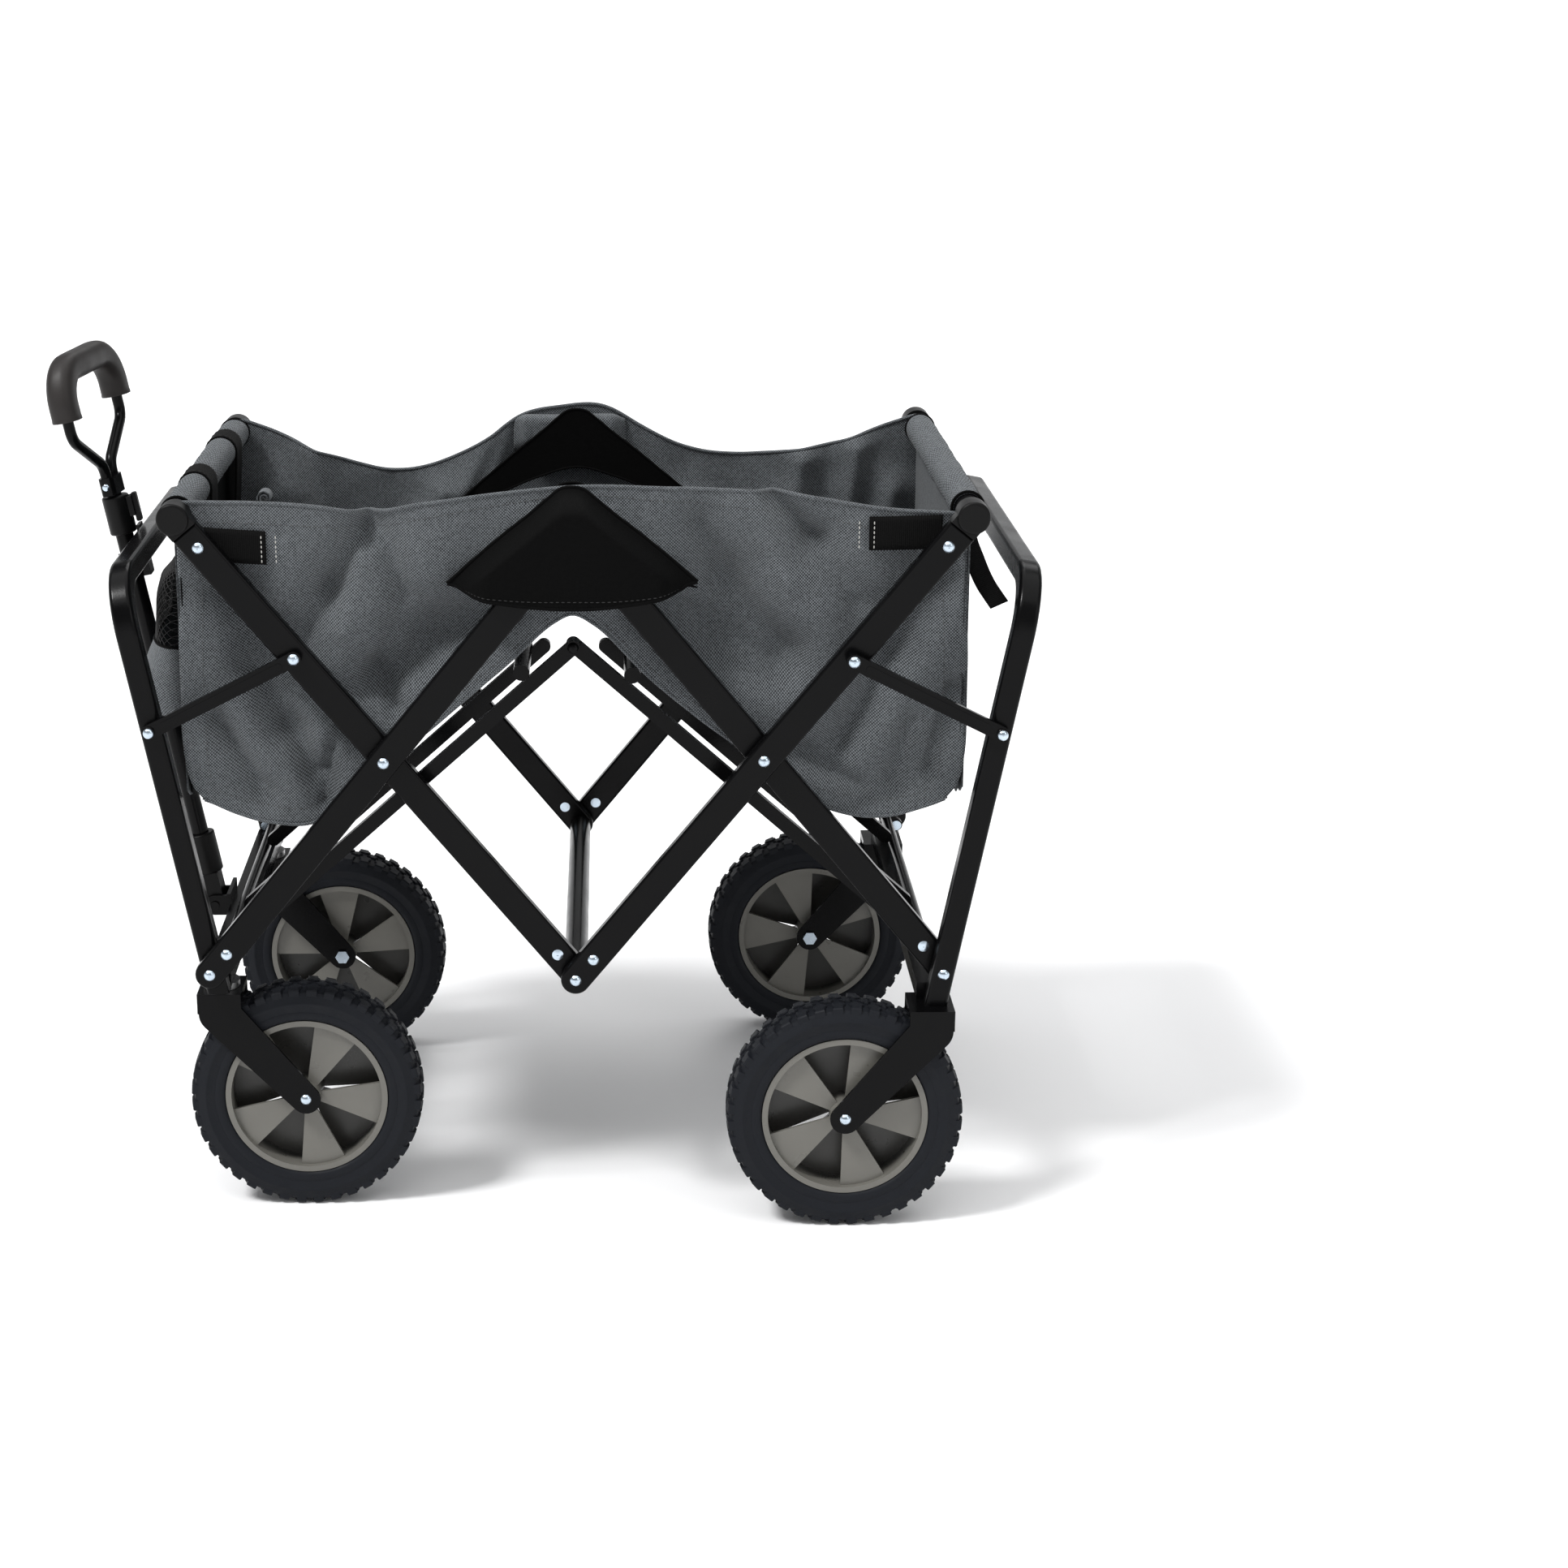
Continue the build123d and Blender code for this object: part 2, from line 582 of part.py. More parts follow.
def handle_bracket():
    """Two ears on a plate on the crossbar's front, which the handle's foot turns between."""
    plate = box_between((-STEM_X - 14.5, -24, FOOT_Z), (-STEM_X - 11, 24, 230))
    pivot = handle_pivot_point()
    ear = slab(slot_outline((-STEM_X - 11.5, pivot[1]), pivot, 9.5), 0, 3)
    shape = plate
    for side in (-1, 1):
        shape += Pos(0, side * 13.8, 0) * ear
    shape -= box_between((-STEM_X - 11, -30, 180), (-STEM_X + 40, 30, 260))
    pin = rod_y(pivot, PIN_R, -17, 17)
    return Compound(children=[shape - rod_y(pivot, HOLE_R, -30, 30), pin])


def handle_pivot_point():
    point = (handle_place() * Pos(0, 0, HANDLE_PIVOT)).position
    return (point.X, point.Z)


def handle_foot():
    """The solid foot, the socket that takes the long tube, and its clamp screw."""
    foot = Pos(0, 0, (HANDLE_PIVOT + SOCKET_BOTTOM) / 2) * Box(17, 24, SOCKET_BOTTOM - HANDLE_PIVOT)
    foot += Pos(0, 0, HANDLE_PIVOT) * Rot(90, 0, 0) * Cylinder(8.5, 24)
    socket = Pos(0, 0, (SOCKET_BOTTOM + SOCKET_TOP) / 2) * Cylinder(13, SOCKET_TOP - SOCKET_BOTTOM)
    foot += fillet(socket.edges(), 1.5)
    foot -= Pos(0, 0, HANDLE_PIVOT) * Rot(90, 0, 0) * Cylinder(HOLE_R, 60)
    bore_bottom = SOCKET_BOTTOM + 8
    bore = Cylinder(HANDLE_TUBE_R, SOCKET_TOP - bore_bottom)
    foot -= Pos(0, 0, (bore_bottom + SOCKET_TOP) / 2) * bore
    return handle_place() * foot


def handle_tube():
    low = SOCKET_BOTTOM + 8
    tube = Cylinder(HANDLE_TUBE_R, HANDLE_TOP - low) - Cylinder(HANDLE_BORE_R, HANDLE_TOP - low)
    return handle_place() * Pos(0, 0, (low + HANDLE_TOP) / 2) * tube


def lock_collar():
    """The housing at the tube's top that the grip's stem slides through."""
    height = COLLAR_TOP - HANDLE_TOP
    body = fillet(Cylinder(12, height).edges(), 2)
    body += Pos(11, 0, 6) * Box(8, 12, 18)
    body -= Cylinder(HANDLE_BORE_R, height + 2)
    body -= Pos(15, 0, 6) * Box(8, 6.6, 30)
    return handle_place() * Pos(0, 0, (HANDLE_TOP + COLLAR_TOP) / 2) * body


def lock_lever():
    lever = Pos(17, 0, 4) * Box(5, 6, 26)
    lever = fillet(lever.edges().filter_by(Axis.Y), 1.5)
    lever += Pos(15.5, 0, 12) * Rot(90, 0, 0) * Cylinder(2, 6.4)
    return handle_place() * Pos(0, 0, (HANDLE_TOP + COLLAR_TOP) / 2) * lever


def grip_frame():
    """The sliding stem, the yoke and the two bent rods that carry the grip."""
    stem_bottom = 130.0
    stem = Pos(0, 0, (stem_bottom + YOKE_Z) / 2) * Cylinder(STEM_TUBE_R, YOKE_Z - stem_bottom)
    yoke = Pos(0, 0, YOKE_Z + 8) * Box(14, 28, 16)
    shape = stem + fillet(yoke.edges().filter_by(Axis.Z), 5)
    for side in (-1, 1):
        foot = (0, side * 8, YOKE_Z + 14)
        bends = ((0, side * 8, YOKE_Z + 27), (0, side * GRIP_HALF_Y, YOKE_Z + 60))
        path = FilletPolyline(foot, *bends, (0, side * GRIP_HALF_Y, GRIP_BOTTOM), radius=ROD_BEND_R)
        shape += sweep(Plane(origin=foot, z_dir=(0, 0, 1)) * Circle(ROD_R), path=path)
    return handle_place() * Rot(0, 0, -GRIP_TWIST) * shape


def grip():
    """The moulded D grip, from one rod's end over to the other's."""
    half = GRIP_HALF_Y
    foot, top = (0, -half, GRIP_BOTTOM), (0, -half, GRIP_TOP)
    path = FilletPolyline(foot, top, (0, half, GRIP_TOP), (0, half, GRIP_BOTTOM), radius=30)
    bar = sweep(Plane(origin=foot, z_dir=(0, 0, 1)) * Circle(GRIP_R), path=path)
    return handle_place() * Rot(0, 0, -GRIP_TWIST) * bar


def handle_clip():
    """A sprung C on the front frame's top bar that holds the handle upright."""
    outer = HANDLE_TUBE_R + 4
    jaw = Circle(outer) - Circle(HANDLE_TUBE_R + 0.4)
    jaw -= Pos(-outer, 0) * Rectangle(2 * outer - 4, 2 * HANDLE_TUBE_R + 1.4)
    ring = extrude(jaw, amount=24)
    bridge_to = -TUBE / 2 - HANDLE_X
    bridge = box_between((HANDLE_TUBE_R + 2, -9, 0), (bridge_to, 9, 24))
    hook = box_between((bridge_to - 3, -9, 0), (bridge_to, 9, 46))
    return handle_place() * Pos(0, 0, LEG_TO_TOP - 36) * (ring + bridge + hook)


def build_nodes():
    nodes = {
        "bottom_cross_tube": bottom_cross_tube(),
        "centre_pivot_pins": centre_pivot_pins(),
        "top_centre_brackets": top_brackets(),
        "side_flaps": side_flaps(),
        "tub_floor_cloth": tub_floor_cloth(),
        "front_pocket": front_pocket(),
        "caster_bearings": caster_bearings(),
        "rear_forks": rear_forks(),
        "rear_axles": rear_axles(),
        "handle_bracket": handle_bracket(),
        "handle_clip": handle_clip(),
        "handle_foot": handle_foot(),
        "handle_tube": handle_tube(),
        "lock_collar": lock_collar(),
        "lock_lever": lock_lever(),
        "grip_frame": grip_frame(),
        "grip": grip(),
    }
    for end in ("front", "rear"):
        nodes[f"{end}_corner_caps"] = corner_caps(end)
        nodes[f"{end}_rail"] = rail(end)
        nodes[f"{end}_rail_sleeve"] = rail_sleeve(end)
        nodes[f"{end}_rail_arm_rivets"] = rail_arm_rivets(end)
        nodes[f"{end}_cross_arm_rivets"] = cross_arm_rivets(end)
        nodes[f"{end}_leg_frame"] = u_frame(end)
        nodes[f"{end}_struts"] = struts(end)
        nodes[f"{end}_floor_frame"] = floor_frame(end)
        nodes[f"{end}_floor_pad"] = floor_pad(end)
        nodes[f"{end}_end_panel"] = end_panel(end)
    for name, side in (("near", -1), ("far", 1)):
        nodes[f"{name}_side_panel"] = side_panel(side)
        for end in ("front", "rear"):
            nodes[f"{name}_{end}_rail_arm"] = rail_arm(end, side)
            nodes[f"{name}_{end}_cross_arm"] = cross_arm(end, side)
        front_hub, rear_hub = -STEM_X + TRAIL, REAR_CROWN_X - TRAIL
        front_y, rear_y = side * FRONT_WHEEL_Y, side * REAR_WHEEL_Y
        nodes[f"{name}_caster_fork"] = caster_fork(side)
        nodes[f"{name}_caster_axle"] = axle_bolt(front_hub, front_y, side)
        nodes[f"{name}_front_tyre"] = tyre(front_hub, front_y)
        nodes[f"{name}_front_rim"] = rim(front_hub, front_y, WHEEL_TURN[f"{name}_front"])
        nodes[f"{name}_rear_tyre"] = tyre(rear_hub, rear_y)
        nodes[f"{name}_rear_rim"] = rim(rear_hub, rear_y, WHEEL_TURN[f"{name}_rear"])
    return nodes


os.makedirs("parts", exist_ok=True)
for node_name, shape in build_nodes().items():
    export_step(Pos(CENTRE_X, 0, 0) * shape, f"parts/{node_name}.step")
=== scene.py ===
"""Folding wagon with a pull handle: cloth, rubber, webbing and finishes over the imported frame."""

import json
import math

import bmesh
import bpy
import numpy as np
from mathutils import Matrix, Vector, noise


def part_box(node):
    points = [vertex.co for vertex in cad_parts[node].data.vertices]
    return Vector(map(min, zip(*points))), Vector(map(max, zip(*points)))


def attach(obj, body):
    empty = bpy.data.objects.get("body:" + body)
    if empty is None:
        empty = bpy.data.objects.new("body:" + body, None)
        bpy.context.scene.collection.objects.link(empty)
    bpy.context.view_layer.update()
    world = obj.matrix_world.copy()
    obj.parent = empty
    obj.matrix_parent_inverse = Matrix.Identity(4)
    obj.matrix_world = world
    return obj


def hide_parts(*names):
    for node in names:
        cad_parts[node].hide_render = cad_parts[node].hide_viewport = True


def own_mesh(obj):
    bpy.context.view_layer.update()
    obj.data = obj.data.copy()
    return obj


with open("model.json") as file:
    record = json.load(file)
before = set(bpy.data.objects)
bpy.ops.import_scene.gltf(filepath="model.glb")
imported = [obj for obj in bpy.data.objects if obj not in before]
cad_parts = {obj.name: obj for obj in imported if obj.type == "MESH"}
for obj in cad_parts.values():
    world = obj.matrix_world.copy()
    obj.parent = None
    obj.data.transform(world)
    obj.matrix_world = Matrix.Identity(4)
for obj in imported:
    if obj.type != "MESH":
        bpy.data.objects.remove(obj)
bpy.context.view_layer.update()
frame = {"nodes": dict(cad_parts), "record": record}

MM = 0.001
CENTRE_X = 33.72           # the pivots' middle plane in the frame, in millimetres
SIDES = {"near": -1, "far": 1}
ENDS = {"front": -1, "rear": 1}

# Points in side view, in millimetres: along from the pivots' middle plane and up from the floor.
RAIL = (325.9, 620.3)
STRUT_FOOT = (353.1, 441.9)
FOOT = (-311.6, 228.4)

THREAD = 1.25              # width of a thread of the tub's basket weave
PANEL_Y = 200.8            # the side cloths' distance from the middle, where they lie flat
POCKET_BACK = 331.5
POCKET_HALF_Y = 149
TREAD_BLOCKS = 40

# Tub panel outlines, in side view.
NEAR_TOP = [
    (-318, 631), (-290, 631), (-248, 630), (-205, 626), (-168, 619), (-130, 627), (-95, 632),
    (-45, 638), (5, 642), (80, 640), (161, 636), (205, 630), (255, 622), (321, 618),
]
FAR_TOP = [
    (-318, 631), (-290, 621), (-240, 600), (-173, 582), (-125, 592), (-85, 612), (-57, 632),
    (-15, 642), (27, 642), (60, 624), (100, 604), (147, 595), (200, 599), (250, 608), (290, 621), (320, 631),
]
PANEL_FOOT = [
    (-320, 378), (-309, 374), (-285, 363), (-255, 355), (-221, 355), (-190, 378), (-140, 420), (-99, 455),
    (-50, 497), (-16, 528), (0, 535), (18, 526), (60, 484), (104, 446), (162, 403), (195, 375), (227, 361),
    (262, 358), (295, 366), (320, 376),
]
EDGE_BULGE = [(0.0, 325), (0.3, 327), (0.65, 329), (0.86, 328), (0.93, 325), (0.98, 319), (1.0, 313)]

# Creases in the side panels: from, to, half width and depth in millimetres, inwards positive.
NEAR_CREASES = [
    ((-168, 624), (-172, 596), 7, 7), ((-176, 606), (-203, 556), 13, 8),
    ((-203, 556), (-226, 512), 16, 7), ((-172, 600), (-192, 520), 8, -2.5),
    ((-160, 608), (-140, 548), 15, 8), ((-72, 548), (-112, 512), 22, 18),
    ((-112, 512), (-156, 478), 18, 16), ((-150, 520), (-175, 470), 12, 6),
    ((-166, 486), (-150, 452), 7, 7), ((-288, 552), (-243, 472), 20, 11),
    ((-268, 486), (-240, 432), 15, 13), ((-240, 432), (-220, 394), 13, 12),
    ((-304, 446), (-266, 384), 12, 9), ((-226, 462), (-188, 424), 12, 9),
    ((-252, 440), (-232, 380), 8, -2), ((-205, 415), (-212, 370), 9, 7),
    ((100, 612), (124, 560), 17, 9), ((124, 560), (176, 500), 19, 12),
    ((150, 632), (178, 560), 10, -2.5), ((166, 634), (200, 596), 11, 8),
    ((200, 596), (236, 540), 18, 6), ((76, 548), (120, 516), 22, 17),
    ((120, 516), (170, 486), 18, 14), ((300, 566), (262, 498), 18, 10),
    ((262, 498), (226, 420), 20, 13), ((192, 414), (238, 380), 12, 8),
    ((286, 440), (268, 388), 14, 7), ((318, 470), (300, 400), 9, 6),
]
FAR_CREASES = [
    ((-172, 596), (-178, 500), 34, -1.5), ((-60, 636), (-84, 560), 9, 7),
    ((-78, 616), (-110, 560), 14, 5), ((30, 636), (46, 590), 8, 6),
    ((64, 626), (84, 560), 15, 6), ((-250, 600), (-226, 480), 22, 9),
    ((-290, 560), (-270, 430), 18, 8), ((-130, 560), (-170, 470), 22, 7),
    ((150, 596), (150, 500), 30, -1.5), ((214, 590), (196, 470), 20, 9),
    ((266, 600), (250, 470), 16, 8), ((300, 560), (280, 430), 18, 7),
    ((110, 540), (160, 480), 20, 8),
]
CREASE_GAIN = 2.5

# The black gusset's upper seam, from the apex out.
GUSSET_SEAM = [(0, 642), (9, 640.5), (20, 632), (33, 621), (56, 603), (81, 582), (104, 562)]


# --- mesh helpers ---


def to_frame(points):
    """Many points at once, from millimetres about the pivots' middle plane to metres in the frame."""
    moved = np.array(points, float)
    moved[..., 0] += CENTRE_X
    return moved * MM


def place(name, data):
    """A new object in the scene."""
    obj = bpy.data.objects.new(name, data)
    bpy.context.scene.collection.objects.link(obj)
    return obj


def paint(obj, material):
    obj.data.materials.clear()
    obj.data.materials.append(material)


def move_points(obj, points):
    obj.data.vertices.foreach_set("co", points.astype(np.float32).ravel())
    obj.data.update()


def piece(name, points, faces, material, smooth=True):
    """A mesh object from points in millimetres."""
    mesh = bpy.data.meshes.new(name)
    mesh.from_pydata(to_frame(points).tolist(), [], faces)
    mesh.materials.append(material)
    mesh.polygons.foreach_set("use_smooth", [smooth] * len(mesh.polygons))
    return place(name, mesh)


def grid_faces(rows, cols, closed=False):
    faces = []
    for r in range(rows - 1):
        for c in range(cols if closed else cols - 1):
            d = (c + 1) % cols
            faces.append((r * cols + c, r * cols + d, (r + 1) * cols + d, (r + 1) * cols + c))
    return faces


def set_uv(obj, uv):
    """Gives each vertex its place on the flat cloth, in metres."""
    layer = obj.data.uv_layers.new(name="cloth")
    index = np.zeros(len(obj.data.loops), int)
    obj.data.loops.foreach_get("vertex_index", index)
    layer.data.foreach_set("uv", np.asarray(uv, float)[index].ravel())


def reach_along(path):
    """Each point's distance along a path from its start."""
    return np.concatenate([[0], np.cumsum(np.linalg.norm(np.diff(path, axis=0), axis=1))])


def joined(*parts):
    """Coordinates given apart, as points."""
    return np.stack(parts, axis=-1)


def full_turn(count):
    """Angles evenly spaced round a circle."""
    return np.linspace(0, 2 * np.pi, count, endpoint=False)


def cloth_uv(points):
    """Distances along the rows and columns of a grid, in metres."""
    across = np.linalg.norm(np.diff(points, axis=1), axis=2).mean(axis=0)
    down = np.linalg.norm(np.diff(points, axis=0), axis=2).mean(axis=1)
    u = np.concatenate([[0], np.cumsum(across)]) * MM
    v = np.concatenate([[0], np.cumsum(down)]) * MM
    uu, vv = np.meshgrid(u, v)
    return joined(uu.ravel(), vv.ravel())


def grid_piece(name, points, material, thickness=0.0, closed=False, uv=None):
    """A grid of points, rows by columns by three, as one sheet."""
    points = np.asarray(points, float)
    rows, cols = points.shape[:2]
    obj = piece(name, points.reshape(-1, 3), grid_faces(rows, cols, closed), material)
    set_uv(obj, cloth_uv(points) if uv is None else uv)
    if thickness:
        solid = obj.modifiers.new("thickness", "SOLIDIFY")
        solid.thickness = thickness * MM
        solid.offset = 0.0
    return obj


def smooth_line(points):
    """A smooth curve through points in order of their first coordinate."""
    xs, ys = np.array(points, float).T
    slopes = np.gradient(ys, xs)

    def value(x):
        i = np.clip(np.searchsorted(xs, x) - 1, 0, len(xs) - 2)
        step = xs[i + 1] - xs[i]
        t = np.clip((x - xs[i]) / step, 0, 1)
        rise = ys[i] * (2 * t**3 - 3 * t**2 + 1) + ys[i + 1] * (3 * t**2 - 2 * t**3)
        return rise + step * (slopes[i] * (t**3 - 2 * t**2 + t) + slopes[i + 1] * (t**3 - t**2))

    return value


def smoothstep(t):
    t = np.clip(t, 0, 1)
    return t * t * (3 - 2 * t)


def crease_depth(x, z, creases):
    """The sum of soft furrows along line segments in side view."""
    total = np.zeros_like(x)
    for (ax, az), (bx, bz), width, depth in creases:
        dx, dz = bx - ax, bz - az
        t = np.clip(((x - ax) * dx + (z - az) * dz) / (dx * dx + dz * dz), 0, 1)
        distance = np.hypot(x - ax - t * dx, z - az - t * dz)
        total += depth * np.exp(-np.abs(distance / width) ** 1.35)
    return total


def ripple(x, z, size, depth, seed):
    """Small uneven wrinkles, the same on every run."""
    flat = [noise.noise(Vector((a / size, b / size, seed))) for a, b in zip(x.ravel(), z.ravel())]
    return depth * np.array(flat).reshape(x.shape)


def tangents_along(path):
    tangents = np.gradient(path, axis=0)
    return tangents / np.linalg.norm(tangents, axis=1)[:, None]


def frames_along(path):
    """Two unit vectors square to the path at each point, turning as little as they can."""
    tangents = tangents_along(path)
    guess = np.array([0, 1, 0]) if abs(tangents[0][1]) < 0.9 else np.array([1, 0, 0])
    normals = []
    for t in tangents:
        guess = guess - (guess @ t) * t
        guess = guess / np.linalg.norm(guess)
        normals.append(guess)
    normals = np.array(normals)
    return normals, np.cross(tangents, normals)


def tube_piece(name, path, radius, material, sides=10):
    """A round tube along a path, closed at both ends."""
    path = np.asarray(path, float)
    normals, binormals = frames_along(path)
    section = np.array([(radius * math.cos(a), radius * math.sin(a)) for a in full_turn(sides)])
    points = path[:, None, :] + section[None, :, :1] * normals[:, None, :]
    points = points + section[None, :, 1:] * binormals[:, None, :]
    rows, cols = points.shape[:2]
    faces = grid_faces(rows, cols, closed=True)
    faces.append(tuple(range(cols))[::-1])
    faces.append(tuple(range((rows - 1) * cols, rows * cols)))
    obj = piece(name, points.reshape(-1, 3), faces, material)
    lengths = reach_along(path) * MM
    around = np.linspace(0, 2 * np.pi * radius * MM, cols)
    set_uv(obj, [(a, s) for s in lengths for a in around])
    return obj


def ribbon_piece(name, path, width, thickness, across, material):
    """A flat strap along a path, with its width along one direction."""
    path = np.asarray(path, float)
    across = np.array(across, float)
    across /= np.linalg.norm(across)
    steps = np.linspace(-0.5, 0.5, 7)
    points = path[:, None, :] + steps[None, :, None] * width * across[None, None, :]
    return grid_piece(name, points, material, thickness)


def stitch_row(name, path, normal, material, length=3.0, gap=1.7, thick=0.42):
    """Separate stitches along a path, each a small raised grain of thread."""
    path = np.asarray(path, float)
    normal = np.array(normal, float)
    reach = reach_along(path)

    def point_at(distance):
        return np.array([np.interp(distance, reach, path[:, k]) for k in range(3)])

    points, faces = [], []
    start = 0.5
    while start + length < reach[-1]:
        a, b = point_at(start), point_at(start + length)
        along = (b - a) / max(np.linalg.norm(b - a), 1e-6)
        side = np.cross(along, normal)
        side /= max(np.linalg.norm(side), 1e-6)
        base = len(points)
        for t, size in ((0.0, 0.25), (0.25, 1.0), (0.75, 1.0), (1.0, 0.25)):
            middle = a + (b - a) * t
            for k in range(6):
                angle = k * math.pi / 3
                points.append(middle + size * thick * (math.cos(angle) * side + math.sin(angle) * normal))
        faces += [tuple(base + i for i in f) for f in grid_faces(4, 6, closed=True)]
        start += length + gap
    return piece(name, np.array(points), faces, material)


def revolve(profile, segments, centre):
    """Points of a profile of radius and depth, turned about a wheel's axle."""
    angles = full_turn(segments)
    r, y = np.array(profile, float).T
    x = centre[0] + r[:, None] * np.cos(angles)[None, :]
    z = centre[2] + r[:, None] * np.sin(angles)[None, :]
    depth = np.repeat((centre[1] + y)[:, None], segments, axis=1)
    return joined(x, depth, z)


# --- materials ---

def new_material(name):
    material = bpy.data.materials.new(name)
    material.use_nodes = True
    tree = material.node_tree
    return material, tree, tree.nodes["Principled BSDF"]


def feed(tree, socket, value):
    """Sets an input to a value, or links it to another node's output."""
    if isinstance(value, bpy.types.NodeSocket):
        tree.links.new(value, socket)
    else:
        socket.default_value = value


def add(tree, kind, settings=None, **inputs):
    """A node with its settings and inputs; i0 and i1 are inputs by number."""
    node = tree.nodes.new("ShaderNode" + kind)
    for key, value in (settings or {}).items():
        setattr(node, key, value)
    for key, value in inputs.items():
        feed(tree, node.inputs[{"i0": 0, "i1": 1}.get(key, key)], value)
    return node


def maths(tree, operation, a, b=0.0):
    return add(tree, "Math", {"operation": operation}, i0=a, i1=b).outputs[0]


def times(tree, a, b):
    return maths(tree, "MULTIPLY", a, b)


def set_values(shader, roughness=None, gloss=None):
    """Numbers that are the same all over the surface."""
    if roughness is not None:
        shader.inputs["Roughness"].default_value = roughness
    if gloss is not None:
        shader.inputs["Specular IOR Level"].default_value = gloss


def rough_by(tree, shader, value, low, high):
    tree.links.new(spread(tree, value, low, high), shader.inputs["Roughness"])


def object_noise(tree, scale, detail=2.0, roughness=0.5):
    coords = add(tree, "TexCoord").outputs["Object"]
    values = {"Vector": coords, "Scale": scale, "Detail": detail, "Roughness": roughness}
    return add(tree, "TexNoise", None, **values).outputs["Fac"]


def spread(tree, value, low, high, start=0.3, end=0.7):
    ends = {"From Min": start, "From Max": end, "To Min": low, "To Max": high}
    return add(tree, "MapRange", None, Value=value, **ends).outputs["Result"]


def blend_colour(tree, factor, first, second):
    node = add(tree, "Mix", {"data_type": "RGBA"})
    tree.links.new(factor, node.inputs["Factor"])
    colour_inputs = [s for s in node.inputs if s.type == "RGBA"]
    for socket, value in zip(colour_inputs, (first, second)):
        feed(tree, socket, (*value, 1.0) if isinstance(value, tuple) else value)
    return [s for s in node.outputs if s.type == "RGBA"][0]


def colour_by(tree, shader, factor, first, second):
    tree.links.new(blend_colour(tree, factor, first, second), shader.inputs["Base Color"])


def bump(tree, shader, height, distance, strength=1.0):
    node = add(tree, "Bump", None, Height=height, Distance=distance, Strength=strength)
    tree.links.new(node.outputs["Normal"], shader.inputs["Normal"])


def powder_coat():
    """Glossy black powder coat with a faint orange peel and rubbed patches."""
    material, tree, shader = new_material("frame_paint")
    wear = object_noise(tree, 26.0, 4.0)
    colour_by(tree, shader, wear, (0.0013, 0.0013, 0.0015), (0.003, 0.003, 0.0032))
    rough_by(tree, shader, wear, 0.18, 0.28)
    set_values(shader, gloss=0.1)
    bump(tree, shader, object_noise(tree, 620.0, 2.0), 0.00012, 0.35)
    return material


def plated_steel(name, colour, rough_low, rough_high):
    material, tree, shader = new_material(name)
    stain = object_noise(tree, 160.0, 5.0)
    darker = tuple(c * 0.72 for c in colour)
    colour_by(tree, shader, stain, darker, colour)
    shader.inputs["Metallic"].default_value = 1.0
    rough_by(tree, shader, stain, rough_low, rough_high)
    bump(tree, shader, object_noise(tree, 1400.0, 1.0), 0.00005, 0.3)
    return material


def moulded_plastic(name, low, high, rough_low, rough_high, grain=1500.0, depth=0.0001, gloss=0.3):
    """Moulded plastic with a fine grain and slight mottling."""
    material, tree, shader = new_material(name)
    mottle = object_noise(tree, 40.0, 4.0)
    colour_by(tree, shader, mottle, low, high)
    rough_by(tree, shader, mottle, rough_low, rough_high)
    set_values(shader, gloss=gloss)
    bump(tree, shader, object_noise(tree, grain, 2.0), depth, 0.5)
    return material


def rubber():
    """Dull blue-black rubber with dusty patches."""
    material, tree, shader = new_material("tyre_rubber")
    dust = object_noise(tree, 55.0, 6.0, 0.6)
    colour_by(tree, shader, dust, (0.0035, 0.0043, 0.0064), (0.0095, 0.0108, 0.0142))
    rough_by(tree, shader, dust, 0.5, 0.74)
    set_values(shader, gloss=0.16)
    bump(tree, shader, object_noise(tree, 900.0, 3.0), 0.00025, 0.5)
    return material


def half_up(tree, value):
    """A value from 0 to 1 moved to run from a half to 1."""
    return maths(tree, "ADD", times(tree, value, 0.5), 0.5)


def cloth_place(tree):
    """A point's place across and down the flat cloth, in metres."""
    uv = add(tree, "UVMap", {"uv_map": "cloth"}).outputs["UV"]
    return add(tree, "SeparateXYZ", None, Vector=uv).outputs[:2]


def thread_hump(tree, along, across):
    """One thread's height: rounded across its width and dipping where it passes under."""
    humps = [maths(tree, "SINE", times(tree, maths(tree, "FRACT", t), math.pi)) for t in (along, across)]
    return times(tree, maths(tree, "POWER", humps[0], 0.5), half_up(tree, humps[1]))


def weave_nodes(tree, thread):
    """Which thread is on top, and the height of a basket weave."""
    u, v = [maths(tree, "DIVIDE", place, thread * MM) for place in cloth_place(tree)]
    cell = maths(tree, "ADD", maths(tree, "FLOOR", u), maths(tree, "FLOOR", v))
    top = maths(tree, "FLOORED_MODULO", cell, 2.0)
    upper = times(tree, top, thread_hump(tree, u, v))
    lower = times(tree, maths(tree, "SUBTRACT", 1.0, top), thread_hump(tree, v, u))
    return top, maths(tree, "ADD", upper, lower)


